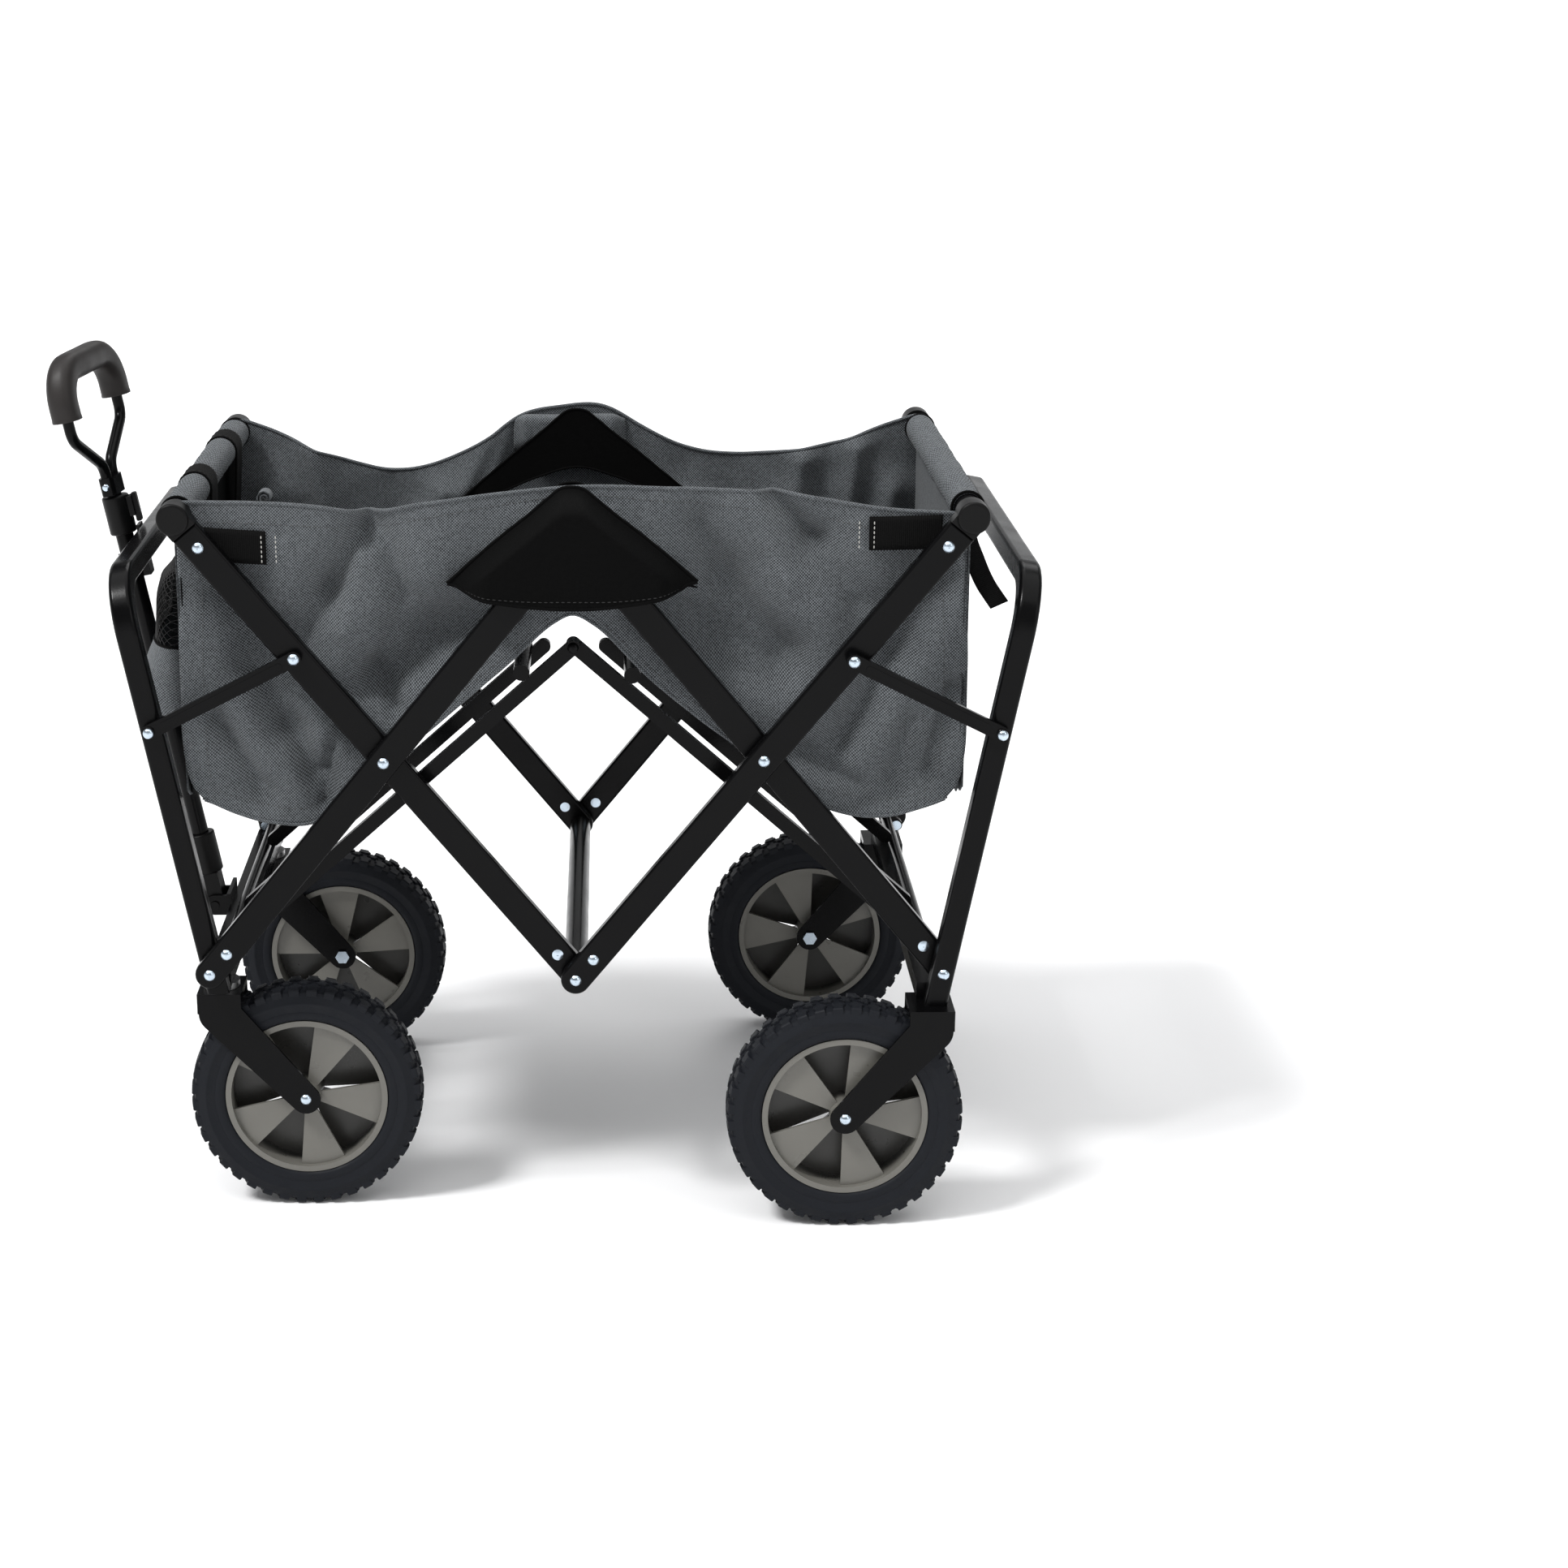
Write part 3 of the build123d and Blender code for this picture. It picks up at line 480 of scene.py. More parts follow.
def woven_cloth(name, thread, light, dark, roughness, depth=0.00035, sheen=0.1, gloss=0.2):
    """Woven cloth in two colours: light threads one way, dark the other, with uneven yarn and painted shade
    in the dips between threads.
    """
    material, tree, shader = new_material(name)
    top, height = weave_nodes(tree, thread)
    yarn = object_noise(tree, 420.0, 2.0)
    broad = object_noise(tree, 9.0, 3.0)
    threads = blend_colour(tree, top, dark, light)
    # painted shade: the low dips between threads are darkened by thread height
    shaded = blend_colour(tree, height, tuple(c * 0.5 for c in dark), threads)
    uneven = spread(tree, yarn, 0.0, 0.22, 0.35, 0.75)
    heather = blend_colour(tree, uneven, shaded, tuple(c * 1.5 for c in light))
    faded = blend_colour(tree, spread(tree, broad, 0.0, 0.16), heather, tuple(c * 0.5 for c in light))
    tree.links.new(faded, shader.inputs["Base Color"])
    set_values(shader, roughness, gloss)
    shader.inputs["Sheen Weight"].default_value = sheen
    shader.inputs["Sheen Roughness"].default_value = 0.5
    bump(tree, shader, height, depth, 0.8)
    return material


def ribbed_webbing():
    """Black webbing with close ribs across its length, with painted shade in the rib grooves and painted
    highlight on the rib tops.
    """
    material, tree, shader = new_material("webbing_black")
    across, along = cloth_place(tree)
    rib = maths(tree, "SINE", times(tree, along, 2 * math.pi / (1.6 * MM)))
    fine = maths(tree, "SINE", times(tree, across, 2 * math.pi / (0.9 * MM)))
    height = maths(tree, "ADD", rib, times(tree, fine, 0.4))
    # painted shade and highlight: colour follows the rib height, darker in the grooves and lighter on the
    # tops
    painted_rib_shade = spread(tree, height, 0.0, 1.0, -1.4, 1.4)
    colour_by(tree, shader, painted_rib_shade, (0.001, 0.001, 0.001), (0.005, 0.0049, 0.0049))
    set_values(shader, 0.72, 0.07)
    bump(tree, shader, height, 0.00018, 0.7)
    return material


def thread_material(name, colour):
    material, tree, shader = new_material(name)
    twist = object_noise(tree, 1800.0, 1.0)
    colour_by(tree, shader, twist, tuple(c * 0.7 for c in colour), colour)
    set_values(shader, 0.75)
    bump(tree, shader, twist, 0.0001, 0.5)
    return material


def pale_floor():
    material, tree, shader = new_material("studio_floor")
    colour_by(tree, shader, object_noise(tree, 3.0), (0.86, 0.86, 0.87), (0.9, 0.9, 0.9))
    set_values(shader, 0.65)
    return material


def rim_plastic(side, end):
    """A wheel's warm grey plastic, with painted shade and soot turning everything behind its outer blades
    near black.
    """
    low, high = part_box(f"{side}_{end}_rim")
    middle = (low.y + high.y) / 2
    name = f"rim_plastic_{side}_{end}"
    material = moulded_plastic(name, (0.115, 0.111, 0.098), (0.142, 0.137, 0.122), 0.26, 0.4, gloss=0.4)
    tree = material.node_tree
    socket = tree.nodes["Principled BSDF"].inputs["Base Color"]
    clean_unshaded = socket.links[0].from_socket
    coords = add(tree, "TexCoord").outputs["Object"]
    depth = add(tree, "SeparateXYZ", None, Vector=coords).outputs["Y"]
    # painted shade and soot: everything deeper than the outer blades is darkened to near black
    painted_shade_and_soot = spread(tree, depth, 0.0, 0.8, middle - 5 * MM, middle + 3 * MM)
    tree.links.new(blend_colour(tree, painted_shade_and_soot, clean_unshaded, (0.012, 0.0115, 0.011)), socket)
    return material


PAINT = powder_coat()
RIVET = plated_steel("bright_rivet", (0.62, 0.72, 0.82), 0.14, 0.3)
STEEL = plated_steel("zinc_steel", (0.5, 0.5, 0.5), 0.28, 0.45)
RIMS = {(side, end): rim_plastic(side, end) for side in SIDES for end in ENDS}
PLASTIC = moulded_plastic(
    "black_plastic", (0.0015, 0.0015, 0.0016), (0.0036, 0.0035, 0.0035), 0.32, 0.46, gloss=0.14
)
GRIP = moulded_plastic(
    "grip_plastic", (0.014, 0.012, 0.0115), (0.024, 0.021, 0.02), 0.4, 0.55, 1100.0, 0.00016, 0.22
)
RUBBER = rubber()
CLOTH = woven_cloth("tub_fabric", THREAD, (0.195, 0.211, 0.224), (0.008, 0.009, 0.011), 0.85)
BLACK_CLOTH = woven_cloth(
    "black_fabric", 0.45, (0.0034, 0.0034, 0.0034), (0.0016, 0.0016, 0.0016), 0.8, 0.00012, 0.004, 0.05
)
WEBBING = ribbed_webbing()
WHITE_THREAD = thread_material("white_thread", (0.5, 0.49, 0.46))
GREY_THREAD = thread_material("grey_thread", (0.07, 0.072, 0.075))
BLACK_THREAD = thread_material("black_thread", (0.005, 0.005, 0.005))
NET = thread_material("net_cord", (0.014, 0.0135, 0.0135))

SLOT_MATERIALS = {
    "frame_paint": PAINT,
    "bright_rivet": RIVET,
    "rim_plastic": RIMS["near", "front"],
    "tyre_rubber": RUBBER,
    "black_plastic": PLASTIC,
    "grip_plastic": GRIP,
    "tub_fabric": CLOTH,
    "black_fabric": BLACK_CLOTH,
    "zinc_steel": STEEL,
}


def finish_cad_nodes():
    """Each CAD node takes the material of its slot in the record."""
    slots = {part["node"]: part["material_slot"] for part in frame["record"]["subparts"]}
    for name, obj in frame["nodes"].items():
        material = SLOT_MATERIALS[slots[name]]
        if name.endswith("_rim"):
            side, end = name.split("_")[:2]
            material = RIMS[side, end]
        paint(obj, material)


# --- wheels ---

def wheel_centre(node):
    low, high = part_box(node)
    middle = (low + high) / 2
    return np.array([middle.x / MM - CENTRE_X, middle.y / MM, middle.z / MM])


def tread_block(outline, turn, top, base, centre, points, faces):
    """One raised block: an outline in degrees and millimetres across, standing on the casing."""
    start = len(points)
    middle = np.mean(outline, axis=0)
    for radius, shrink in ((base, 1.0), (top - 0.8, 0.96), (top, 0.84)):
        for angle, depth in outline:
            a = math.radians(turn + middle[0] + (angle - middle[0]) * shrink)
            y = middle[1] + (depth - middle[1]) * shrink
            drop = 0.012 * max(0.0, abs(y) - 9) ** 2
            r = radius - drop
            points.append((centre[0] + r * math.cos(a), centre[1] + y, centre[2] + r * math.sin(a)))
    count = len(outline)
    for ring in (0, 1):
        for i in range(count):
            j = (i + 1) % count
            a, b = start + ring * count, start + (ring + 1) * count
            faces.append((a + i, a + j, b + j, b + i))
    faces.append(tuple(start + 2 * count + i for i in range(count)))


def tyre(wheel):
    """Smooth casing with stepped sidewalls and an all-terrain tread of stars between shoulder lugs."""
    centre = wheel_centre(f"{wheel}_tyre")
    half = [
        (71.2, 15.5), (72.5, 17.6), (74.5, 18.6), (79.0, 18.9), (80.0, 18.5), (81.0, 18.9), (86.5, 19.4),
        (87.4, 20.0), (88.6, 20.0), (89.5, 19.4), (94.5, 18.8), (97.4, 16.8), (99.0, 12.0), (99.4, 6.0),
    ]
    profile = [(r, -y) for r, y in half] + [(99.5, 0.0)] + [(r, y) for r, y in reversed(half)]
    profile = profile + [(70.6, 14.0), (70.6, -14.0)]
    rings = revolve(profile, 120, centre)
    rows, cols = rings.shape[:2]
    points = [tuple(p) for p in rings.reshape(-1, 3)]
    faces = grid_faces(rows, cols, closed=True)
    last = (rows - 1) * cols
    faces += [(last + c, last + (c + 1) % cols, (c + 1) % cols, c) for c in range(cols)]
    pitch = 360 / TREAD_BLOCKS
    star = [(-3.5, 0), (-1.5, -1.7), (-2.0, -4.6), (0, -3.1), (2.0, -4.6), (1.5, -1.7)]
    star = star + [(-angle, -depth) for angle, depth in star]
    lug = [
        (-3.3, 6.8), (-0.9, 5.4), (0.9, 7.0), (3.2, 5.9), (3.6, 9.6), (2.5, 13.2), (3.1, 18.8),
        (-2.2, 18.8), (-2.5, 12.4), (-3.6, 10.2),
    ]
    for i in range(TREAD_BLOCKS):
        tread_block(star, i * pitch, 101.5, 97.0, centre, points, faces)
        for side in (-1, 1):
            outline = [(a, side * y) for a, y in lug]
            turn = (i + 0.5 + (0.06 if side > 0 else -0.06)) * pitch
            tread_block(outline, turn, 101.3, 94.5, centre, points, faces)
    obj = piece(f"{wheel}_tyre_tread", np.array(points), faces, RUBBER)
    mark_sharp(obj, 35)
    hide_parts(f"{wheel}_tyre")
    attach(obj, f"{wheel}_wheel")


def mark_sharp(obj, degrees):
    """Keeps faces smooth across shallow edges only."""
    mesh = bmesh.new()
    mesh.from_mesh(obj.data)
    bmesh.ops.recalc_face_normals(mesh, faces=mesh.faces)
    limit = math.radians(degrees)
    for edge in mesh.edges:
        edge.smooth = len(edge.link_faces) == 2 and edge.calc_face_angle(0.0) < limit
    mesh.to_mesh(obj.data)
    mesh.free()


# --- tub ---

def tub_cloth(obj):
    """Cloth between the rails rides on the top centre, with a mesh of its own."""
    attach(obj, "top_centre")
    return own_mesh(obj)


def panel_surface(side, x, z):
    """How far out the side panel's cloth is at a point in side view."""
    calm = np.exp(-((x / 92) ** 4) - (((z - 600) / 62) ** 4))
    depth = CREASE_GAIN * crease_depth(x, z, NEAR_CREASES if side < 0 else FAR_CREASES)
    depth = depth + ripple(x, z, 46, 3.0, side * 3.0) + ripple(x, z, 19, 1.1, side * 5.0)
    depth = np.where(depth > 12, 12 + 30 * np.tanh((depth - 12) / 30), depth)
    depth = np.maximum(depth, -5.0) * (1 - calm)
    return side * (PANEL_Y - depth)


def panel_grid(side, cols=170, rows=80):
    top = smooth_line(NEAR_TOP if side < 0 else FAR_TOP)
    foot = smooth_line(PANEL_FOOT)
    bulge = smooth_line(EDGE_BULGE)
    v = np.linspace(0, 1, rows)[:, None]
    u = np.linspace(-1, 1, cols)[None, :]
    x = u * bulge(v * np.ones_like(u))
    z = top(x) * (1 - v) + foot(x) * v
    return x, z


def side_panels():
    for name, side in SIDES.items():
        x, z = panel_grid(side)
        y = panel_surface(side, x, z)
        points = joined(x, y, z)
        uv = joined(x.ravel() * MM, z.ravel() * MM)
        obj = grid_piece(f"{name}_side_cloth", points, CLOTH, 1.1, uv=uv)
        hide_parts(f"{name}_side_panel")
        tub_cloth(obj)
        edge_binding(name, points)
        edge_stitching(name, side, points)


def offset_out(points, side, amount):
    moved = np.array(points, float)
    moved[..., 1] += side * amount
    return moved


def edge_binding(name, points):
    """A narrow folded hem round the panel's lower edge, and a roll along the top."""
    tub_cloth(tube_piece(f"{name}_lower_hem", points[-1], 1.5, CLOTH))
    tub_cloth(tube_piece(f"{name}_top_roll", points[0], 1.7, CLOTH))


def edge_stitching(name, side, points):
    """Rows of stitches beside the hems and down each end seam."""
    rows = {
        "lower": points[-5],
        "top": points[5],
        "front": points[:, 5],
        "rear": points[:, -6],
    }
    for label, line in rows.items():
        path = offset_out(line[6:-6], side, 0.75)
        tub_cloth(stitch_row(f"{name}_{label}_stitches", path, (0, side, 0), GREY_THREAD))


def bright_head(name, body, rings, count, point):
    """A rivet's or screw's head: rings of radius and height, each point placed by a function."""
    points = [point(r, h, k, 2 * math.pi * k / count) for r, h in rings for k in range(count)]
    obj = piece(name, np.array(points), grid_faces(len(rings), count, closed=True), RIVET)
    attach(obj, body)


def strut_rivets():
    """A bright rivet head over each strut's foot, on the leg frames."""
    rings = [(4.6, 0.0), (4.5, 0.8), (3.7, 2.0), (2.2, 2.8), (0.05, 3.1)]
    for end, way in ENDS.items():
        low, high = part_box(f"{end}_struts")
        for name, side in SIDES.items():
            face = (low.y if side < 0 else high.y) / MM

            def point(radius, height, _, angle):
                x = way * STRUT_FOOT[0] + radius * math.cos(angle)
                return x, face + side * height, STRUT_FOOT[1] + radius * math.sin(angle)

            bright_head(f"{name}_{end}_strut_rivet", f"{end}_frame", rings, 24, point)


def floor_cloth():
    """One sheet over both floor frames, peaked at the middle, turned up at its ends."""
    line = [
        (-315, 375), (-300, 366), (-270, 358), (-236, 360), (-212, 366), (-180, 386), (-120, 437),
        (-60, 490), (-14, 530), (0, 536),
    ]
    line = line + [(-x, z) for x, z in reversed(line[:-1])]
    path = np.array(line, float)
    reach = reach_along(path)
    s = np.linspace(0, reach[-1], 150)
    x, z = np.interp(s, reach, path[:, 0]), np.interp(s, reach, path[:, 1])
    kernel = np.ones(5) / 5
    z[2:-2] = np.convolve(z, kernel, "valid")
    foot = smooth_line(PANEL_FOOT)(x)
    near_edge, far_edge = panel_surface(-1, x, foot) + 0.4, panel_surface(1, x, foot) - 0.4
    across = np.linspace(0, 1, 60)[:, None]
    yy = near_edge * (1 - across) + far_edge * across
    xx = np.repeat(x[None, :], 60, axis=0)
    share = np.clip(np.abs(yy) / 200, 0, 1)
    zz = z * (1 - share**8) + foot * share**8
    zz = zz + ripple(xx, yy, 60, 1.6, 7.0) * (1 - share**4)
    obj = grid_piece("tub_floor_sheet", joined(xx, yy, zz), CLOTH, 1.2)
    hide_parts("tub_floor_cloth")
    tub_cloth(obj)


def end_panels():
    """The cloth ends, lined inside, black at the front and grey at the rear."""
    for end, way in ENDS.items():
        half, top = 200, 612
        yy, vv = np.meshgrid(np.linspace(-half, half, 80), np.linspace(0, 1, 60))
        foot = 374 + 9 * smoothstep((np.abs(yy) - 180) / 20.0)
        zz = top - vv * (top - foot)
        edge = 1 - (np.abs(yy) / half) ** 6
        sway = 3.0 * np.sin(vv * np.pi) * edge + ripple(yy, zz, 48, 2.6, way * 2.0) * edge
        lean = 2.5 * np.cos(yy / 31 + vv * 1.3) * np.exp(-((vv - 0.72) / 0.3) ** 2) * edge
        xx = way * (RAIL[0] + 1.4 + sway * 0.6 + lean * 0.6)
        outer = grid_piece(f"{end}_end_cloth", joined(xx, yy, zz), CLOTH, 1.2)
        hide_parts(f"{end}_end_panel")
        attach(outer, f"{end}_panel")
        inner_x = xx - way * 3.2
        lining = joined(inner_x, yy * 0.995, zz - 1)
        slot = "black_fabric" if end == "front" else "tub_fabric"
        inner = grid_piece(f"{end}_end_lining", lining, SLOT_MATERIALS[slot], 0.8)
        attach(inner, f"{end}_panel")
        for name, column in (("near", 4), ("far", -5)):
            seam = joined(xx[:, column] + way * 0.8, yy[:, column], zz[:, 0])
            row = stitch_row(f"{end}_{name}_end_stitches", seam, (way, 0, 0), GREY_THREAD)
            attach(row, f"{end}_panel")


def rail_sleeves():
    """Cloth tunnels over the rails, puckered round the tube, with black ends."""
    for end, way in ENDS.items():
        centre = (way * RAIL[0], RAIL[1])
        y = np.linspace(-190, 190, 400)
        aa, yy = np.meshgrid(full_turn(48), y)
        spots = zip(yy.ravel() * 0.055, np.cos(aa.ravel()) * 0.6, np.sin(aa.ravel()) * 0.6 + way)
        pucker = np.array([noise.noise(Vector(spot)) for spot in spots])
        rings = 0.42 * np.sin(yy / 1.1 + 2 * np.sin(yy / 19))
        radius = 12.6 + 0.9 * pucker.reshape(aa.shape) + rings
        x = centre[0] + radius * np.cos(aa)
        z = centre[1] + radius * np.sin(aa)
        points = joined(x, yy, z)
        uv = joined(aa.ravel() * 13 * MM, yy.ravel() * MM)
        obj = grid_piece(f"{end}_rail_cloth", points, CLOTH, 0.9, closed=True, uv=uv)
        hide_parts(f"{end}_rail_sleeve")
        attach(obj, f"{end}_rail_arms")
        turn = np.linspace(0, 2 * np.pi, 49)
        for name, side in SIDES.items():
            ends = np.full(49, side * 189.5)
            ring_x, ring_z = 13.2 * np.cos(turn), 13.2 * np.sin(turn)
            circle = joined(centre[0] + ring_x, ends, centre[1] + ring_z)
            ring = tube_piece(f"{end}_sleeve_piping_{name}", circle, 1.3, BLACK_CLOTH)
            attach(ring, f"{end}_rail_arms")
    for label, middle in (("near", -66.0), ("far", 108.0)):
        rail_wrap(label, middle)


def rail_wrap(label, middle):
    """A webbing strap over the front rail, whose tail runs down inside the tub."""
    cx, cz = -RAIL[0], RAIL[1]
    radius = 14.2
    turn = np.linspace(math.radians(205), math.radians(-8), 26)
    path = [(cx + radius * math.cos(t), middle, cz + radius * math.sin(t)) for t in turn]
    inner_x = cx + radius
    path += [(inner_x - 0.7 * k, middle + 0.8 * k, cz - 4 - 9.0 * k) for k in range(1, 9)]
    obj = ribbon_piece(f"rail_strap_{label}", path, 38, 1.4, (0, 1, 0), WEBBING)
    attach(obj, "front_panel")
    for edge in (-16.5, 16.5):
        line = []
        for (x, y, z), t in zip(path, turn):
            line.append((x + 0.9 * math.cos(t), y + edge, z + 0.9 * math.sin(t)))
        row = stitch_row(f"rail_strap_{label}_{'a' if edge < 0 else 'b'}", line, (0, 0, 1), BLACK_THREAD)
        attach(row, "front_panel")


def flap_grid(side, inside):
    """A black gusset from its two sloping seams to its lower edge, standing off the panel between them."""
    outline = GUSSET_SEAM + [(118, 551)]
    top = smooth_line([(-x, z) for x, z in reversed(outline[1:])] + outline)
    if inside:
        foot = smooth_line([(-118, 546), (-80, 560), (-36, 578), (0, 587), (36, 578), (80, 560), (118, 546)])
    else:
        foot = smooth_line([(-104, 562), (-61, 553), (0, 547), (61, 553), (104, 562)])
    u = np.linspace(-1, 1, 90)[None, :]
    v = np.linspace(0, 1, 46)[:, None]
    half = 116.0 if inside else 103.5
    x = half * u * np.ones_like(v)
    z = top(x) * (1 - v) + foot(x) * v
    distance = (top(x) - z) * math.cos(math.radians(40))
    reach = smoothstep(distance / 13.0)
    edge = smoothstep((103.5 - np.abs(x)) / 34.0)
    if inside:
        wall = np.minimum(199.0, np.abs(panel_surface(side, x, z)))
        y = wall - 3.4 - (wall - 186.2) * smoothstep((half - np.abs(x)) / 40.0)
    else:
        y = np.maximum(202.4, np.abs(panel_surface(side, x, z)) + 1.6) + 34.6 * reach * edge
        y = y + 1.2 * np.sin(x / 19 + z / 31) * reach * edge
    return joined(x, side * y, z)


def trim_edges(name, points, radius, sides):
    for label, row in (("seam", 0), ("hem", -1)):
        tub_cloth(tube_piece(f"{name}_{label}", points[row], radius, BLACK_CLOTH, sides))


def side_flaps():
    for name, side in SIDES.items():
        points = flap_grid(side, inside=False)
        outer = grid_piece(f"{name}_outer_gusset", points, BLACK_CLOTH, 1.0)
        if name == "near":
            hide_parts("side_flaps")
        tub_cloth(outer)
        trim_edges(f"{name}_gusset", points, 1.5, 10)
        path = offset_out(points[-4], side, 0.8)
        tub_cloth(stitch_row(f"{name}_gusset_stitches", path, (0, side, 0), BLACK_THREAD))
        inner_points = flap_grid(side, inside=True)
        inner = grid_piece(f"{name}_inner_gusset", inner_points, BLACK_CLOTH, 0.9)
        tub_cloth(inner)
        trim_edges(f"{name}_inner", inner_points, 1.2, 8)
        top_hem(name, side)


def top_hem(name, side):
    """The panel's edge turned in over the level bar of the top bracket."""
    x = np.linspace(-60, 46, 60)
    profile = [
        (201.6, 600), (201.8, 615), (201.2, 628), (199.0, 633.2), (195.5, 635), (189.5, 635),
        (186.0, 633), (185.0, 628), (184.9, 615), (186.0, 604),
    ]
    rows = []
    for y, z in profile:
        soft = 0.3 * np.sin(x / 13)
        ends = smoothstep((np.abs(x + 7) - 40) / 14.0)
        yy = side * (y + (199.5 - y) * ends * 0.85)
        rows.append(joined(x, yy, z - 5 * ends + soft))
    obj = grid_piece(f"{name}_top_hem", np.array(rows), CLOTH, 1.0)
    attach(obj, "top_centre")


def webbing_tabs():
    """Short webbing loops sewn to the side panels beside each rail, with white stitching."""
    spots = {"front": (-306.0, -252.0, 597.0, 4.0), "rear": (244.0, 304.0, 602.0, -1.0)}
    for name, side in SIDES.items():
        for end, (x_from, x_to, z, droop) in spots.items():
            x = np.linspace(x_from, x_to, 30)
            flat = panel_surface(side, x, np.full_like(x, z))
            lift = 203.2 + 0.8 * np.sin((x - x_from) / (x_to - x_from) * np.pi)
            y = side * np.maximum(lift, np.abs(flat) + 1.4)
            level = z - droop * (x - x_from) / (x_to - x_from)
            if name == "far":
                level = smooth_line(FAR_TOP)(x) - 19.0
            path = joined(x, y, level)
            obj = ribbon_piece(f"{name}_{end}_tab", path, 28, 1.5, (0, 0, 1), WEBBING)
            tub_cloth(obj)
            inner_end, outer_end, step = (27, 29, 8.0) if end == "front" else (2, 0, -8.0)
            rows = {"on": (path[inner_end], 1.0), "off": (path[outer_end] + (step, 0, 0), -0.2)}
            for label, ((x, y, z), lift) in rows.items():
                line = [(x, y + side * lift, z + k) for k in np.linspace(-13, 13, 14)]
                row_name = f"{name}_{end}_tab_{label}"
                tub_cloth(stitch_row(row_name, line, (0, side, 0), WHITE_THREAD, 2.6, 1.4, 0.5))


def strap_tail():
    """The loose end of a strap at the rear corner."""
    x = [325, 328, 333, 338, 343, 349, 354]
    z = [600, 589, 577, 565, 555, 546, 539]
    y = [-190, -189, -187, -186, -187, -190, -194]
    t = np.linspace(0, 1, 7)
    fine = np.linspace(0, 1, 40)
    path = joined(*[smooth_line(list(zip(t, values)))(fine) for values in (x, y, z)])
    obj = ribbon_piece("rear_strap_tail", path, 16, 1.3, (0.91, 0, 0.41), WEBBING)
    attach(obj, "rear_panel")


def curled_tab():
    """A small rolled tab of cloth at the near top edge."""
    turns = np.linspace(0, 3.6 * np.pi, 60)
    radius = 2.2 + 4.6 * turns / turns[-1]
    x = -252 + radius * np.cos(turns)
    z = 634 + radius * np.sin(turns)
    path = joined(x, np.full_like(x, -193.0), z)
    obj = ribbon_piece("near_curled_tab", path, 16, 1.0, (0, 1, 0), CLOTH)
    tub_cloth(obj)


# --- pocket ---

POCKET_LINE = [
    (POCKET_BACK, 562), (345, 560), (356, 549), (362, 532), (363, 512), (364, 496), (371, 482), (379, 462),
    (381, 447), (374, 435), (356, 430), (333, 432),
]


def pocket_grid(low, high, rows, cols, slack):
    line = np.array(POCKET_LINE, float)
    reach = reach_along(line)
    s = np.linspace(low * reach[-1], high * reach[-1], rows)
    out = np.interp(s, reach, line[:, 0])
    z = np.interp(s, reach, line[:, 1])
    y = np.linspace(-POCKET_HALF_Y, POCKET_HALF_Y, cols)
    close = (1 - (np.abs(y) / POCKET_HALF_Y) ** 7) ** 0.5
    xx = -(POCKET_BACK + (out[:, None] - POCKET_BACK) * close[None, :])
    yy = np.repeat(y[None, :], rows, axis=0)
    zz = np.repeat(z[:, None], cols, axis=1)
    xx = xx + ripple(yy, zz, 34, slack, 11.0) * close[None, :]
    zz = zz - slack * np.cos(yy / POCKET_HALF_Y * np.pi / 2) * 0.8
    return joined(xx, yy, zz)


def pocket_part(obj):
    """A piece of the pocket hangs with the front panel, with a mesh of its own."""
    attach(obj, "front_panel")
    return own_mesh(obj)


def pocket():
    """The front pocket: a gathered cloth pouch below, black netting above and a bound mouth."""
    pouch = grid_piece("pocket_pouch", pocket_grid(0.44, 1.0, 40, 110, 2.0), CLOTH, 1.1)
    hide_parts("front_pocket")
    pocket_part(pouch)
    net = pocket_net(pocket_grid(0.0, 0.45, 26, 100, 2.0))
    pocket_part(net)
    mouth = pocket_grid(0.0, 0.02, 2, 60, 2.0)[0]
    pocket_part(tube_piece("pocket_mouth", mouth, 2.4, BLACK_CLOTH))
    seam = pocket_grid(0.445, 0.45, 2, 80, 2.0)[0]
    pocket_part(tube_piece("pocket_seam", seam, 1.4, BLACK_CLOTH, 8))


def pocket_net(points):
    """Open netting made of crossing cords."""
    rows, cols = points.shape[:2]
    faces = []
    for r in range(rows - 2):
        for c in range(cols - 2):
            if (r + c) % 2 == 0:
                above, level, below = (r * cols + c, (r + 1) * cols + c, (r + 2) * cols + c)
                faces.append((above + 1, level, below + 1, level + 2))
    net = piece("pocket_net", points.reshape(-1, 3), faces, NET)
    wire = net.modifiers.new("cords", "WIREFRAME")
    wire.thickness = 0.95 * MM
    wire.use_even_offset = False
    return net


# --- floor pads ---

BAR_SLOPE = 41.55
PAD_FROM, PAD_TO = 231.0, 414.0
SWELL_FRAMES = 18


def pad_frame(end):
    """The pad's middle and its axes along the slope, across and up from it."""
    way = ENDS[end]
    slope = math.radians(BAR_SLOPE)
    along = np.array([-way * math.cos(slope), 0, math.sin(slope)])
    up = np.array([way * math.sin(slope), 0, math.cos(slope)])
    middle = np.array([-way * FOOT[0], 0, FOOT[1]]) + along * (PAD_FROM + PAD_TO) / 2 + up * 34.2
    return middle, along, np.array([0.0, 1.0, 0.0]), up


def pad_block(length, width, depth):
    """A flat slab with rounded corners, as a closed mesh about its own middle."""
    mesh = bmesh.new()
    bmesh.ops.create_cube(mesh, size=1.0)
    bmesh.ops.scale(mesh, vec=(length * MM, width * MM, depth * MM), verts=mesh.verts)
    upright = [e for e in mesh.edges if abs((e.verts[0].co - e.verts[1].co).z) > MM]
    bmesh.ops.bevel(mesh, geom=upright, offset=0.014, segments=4, affect="EDGES")
    return mesh


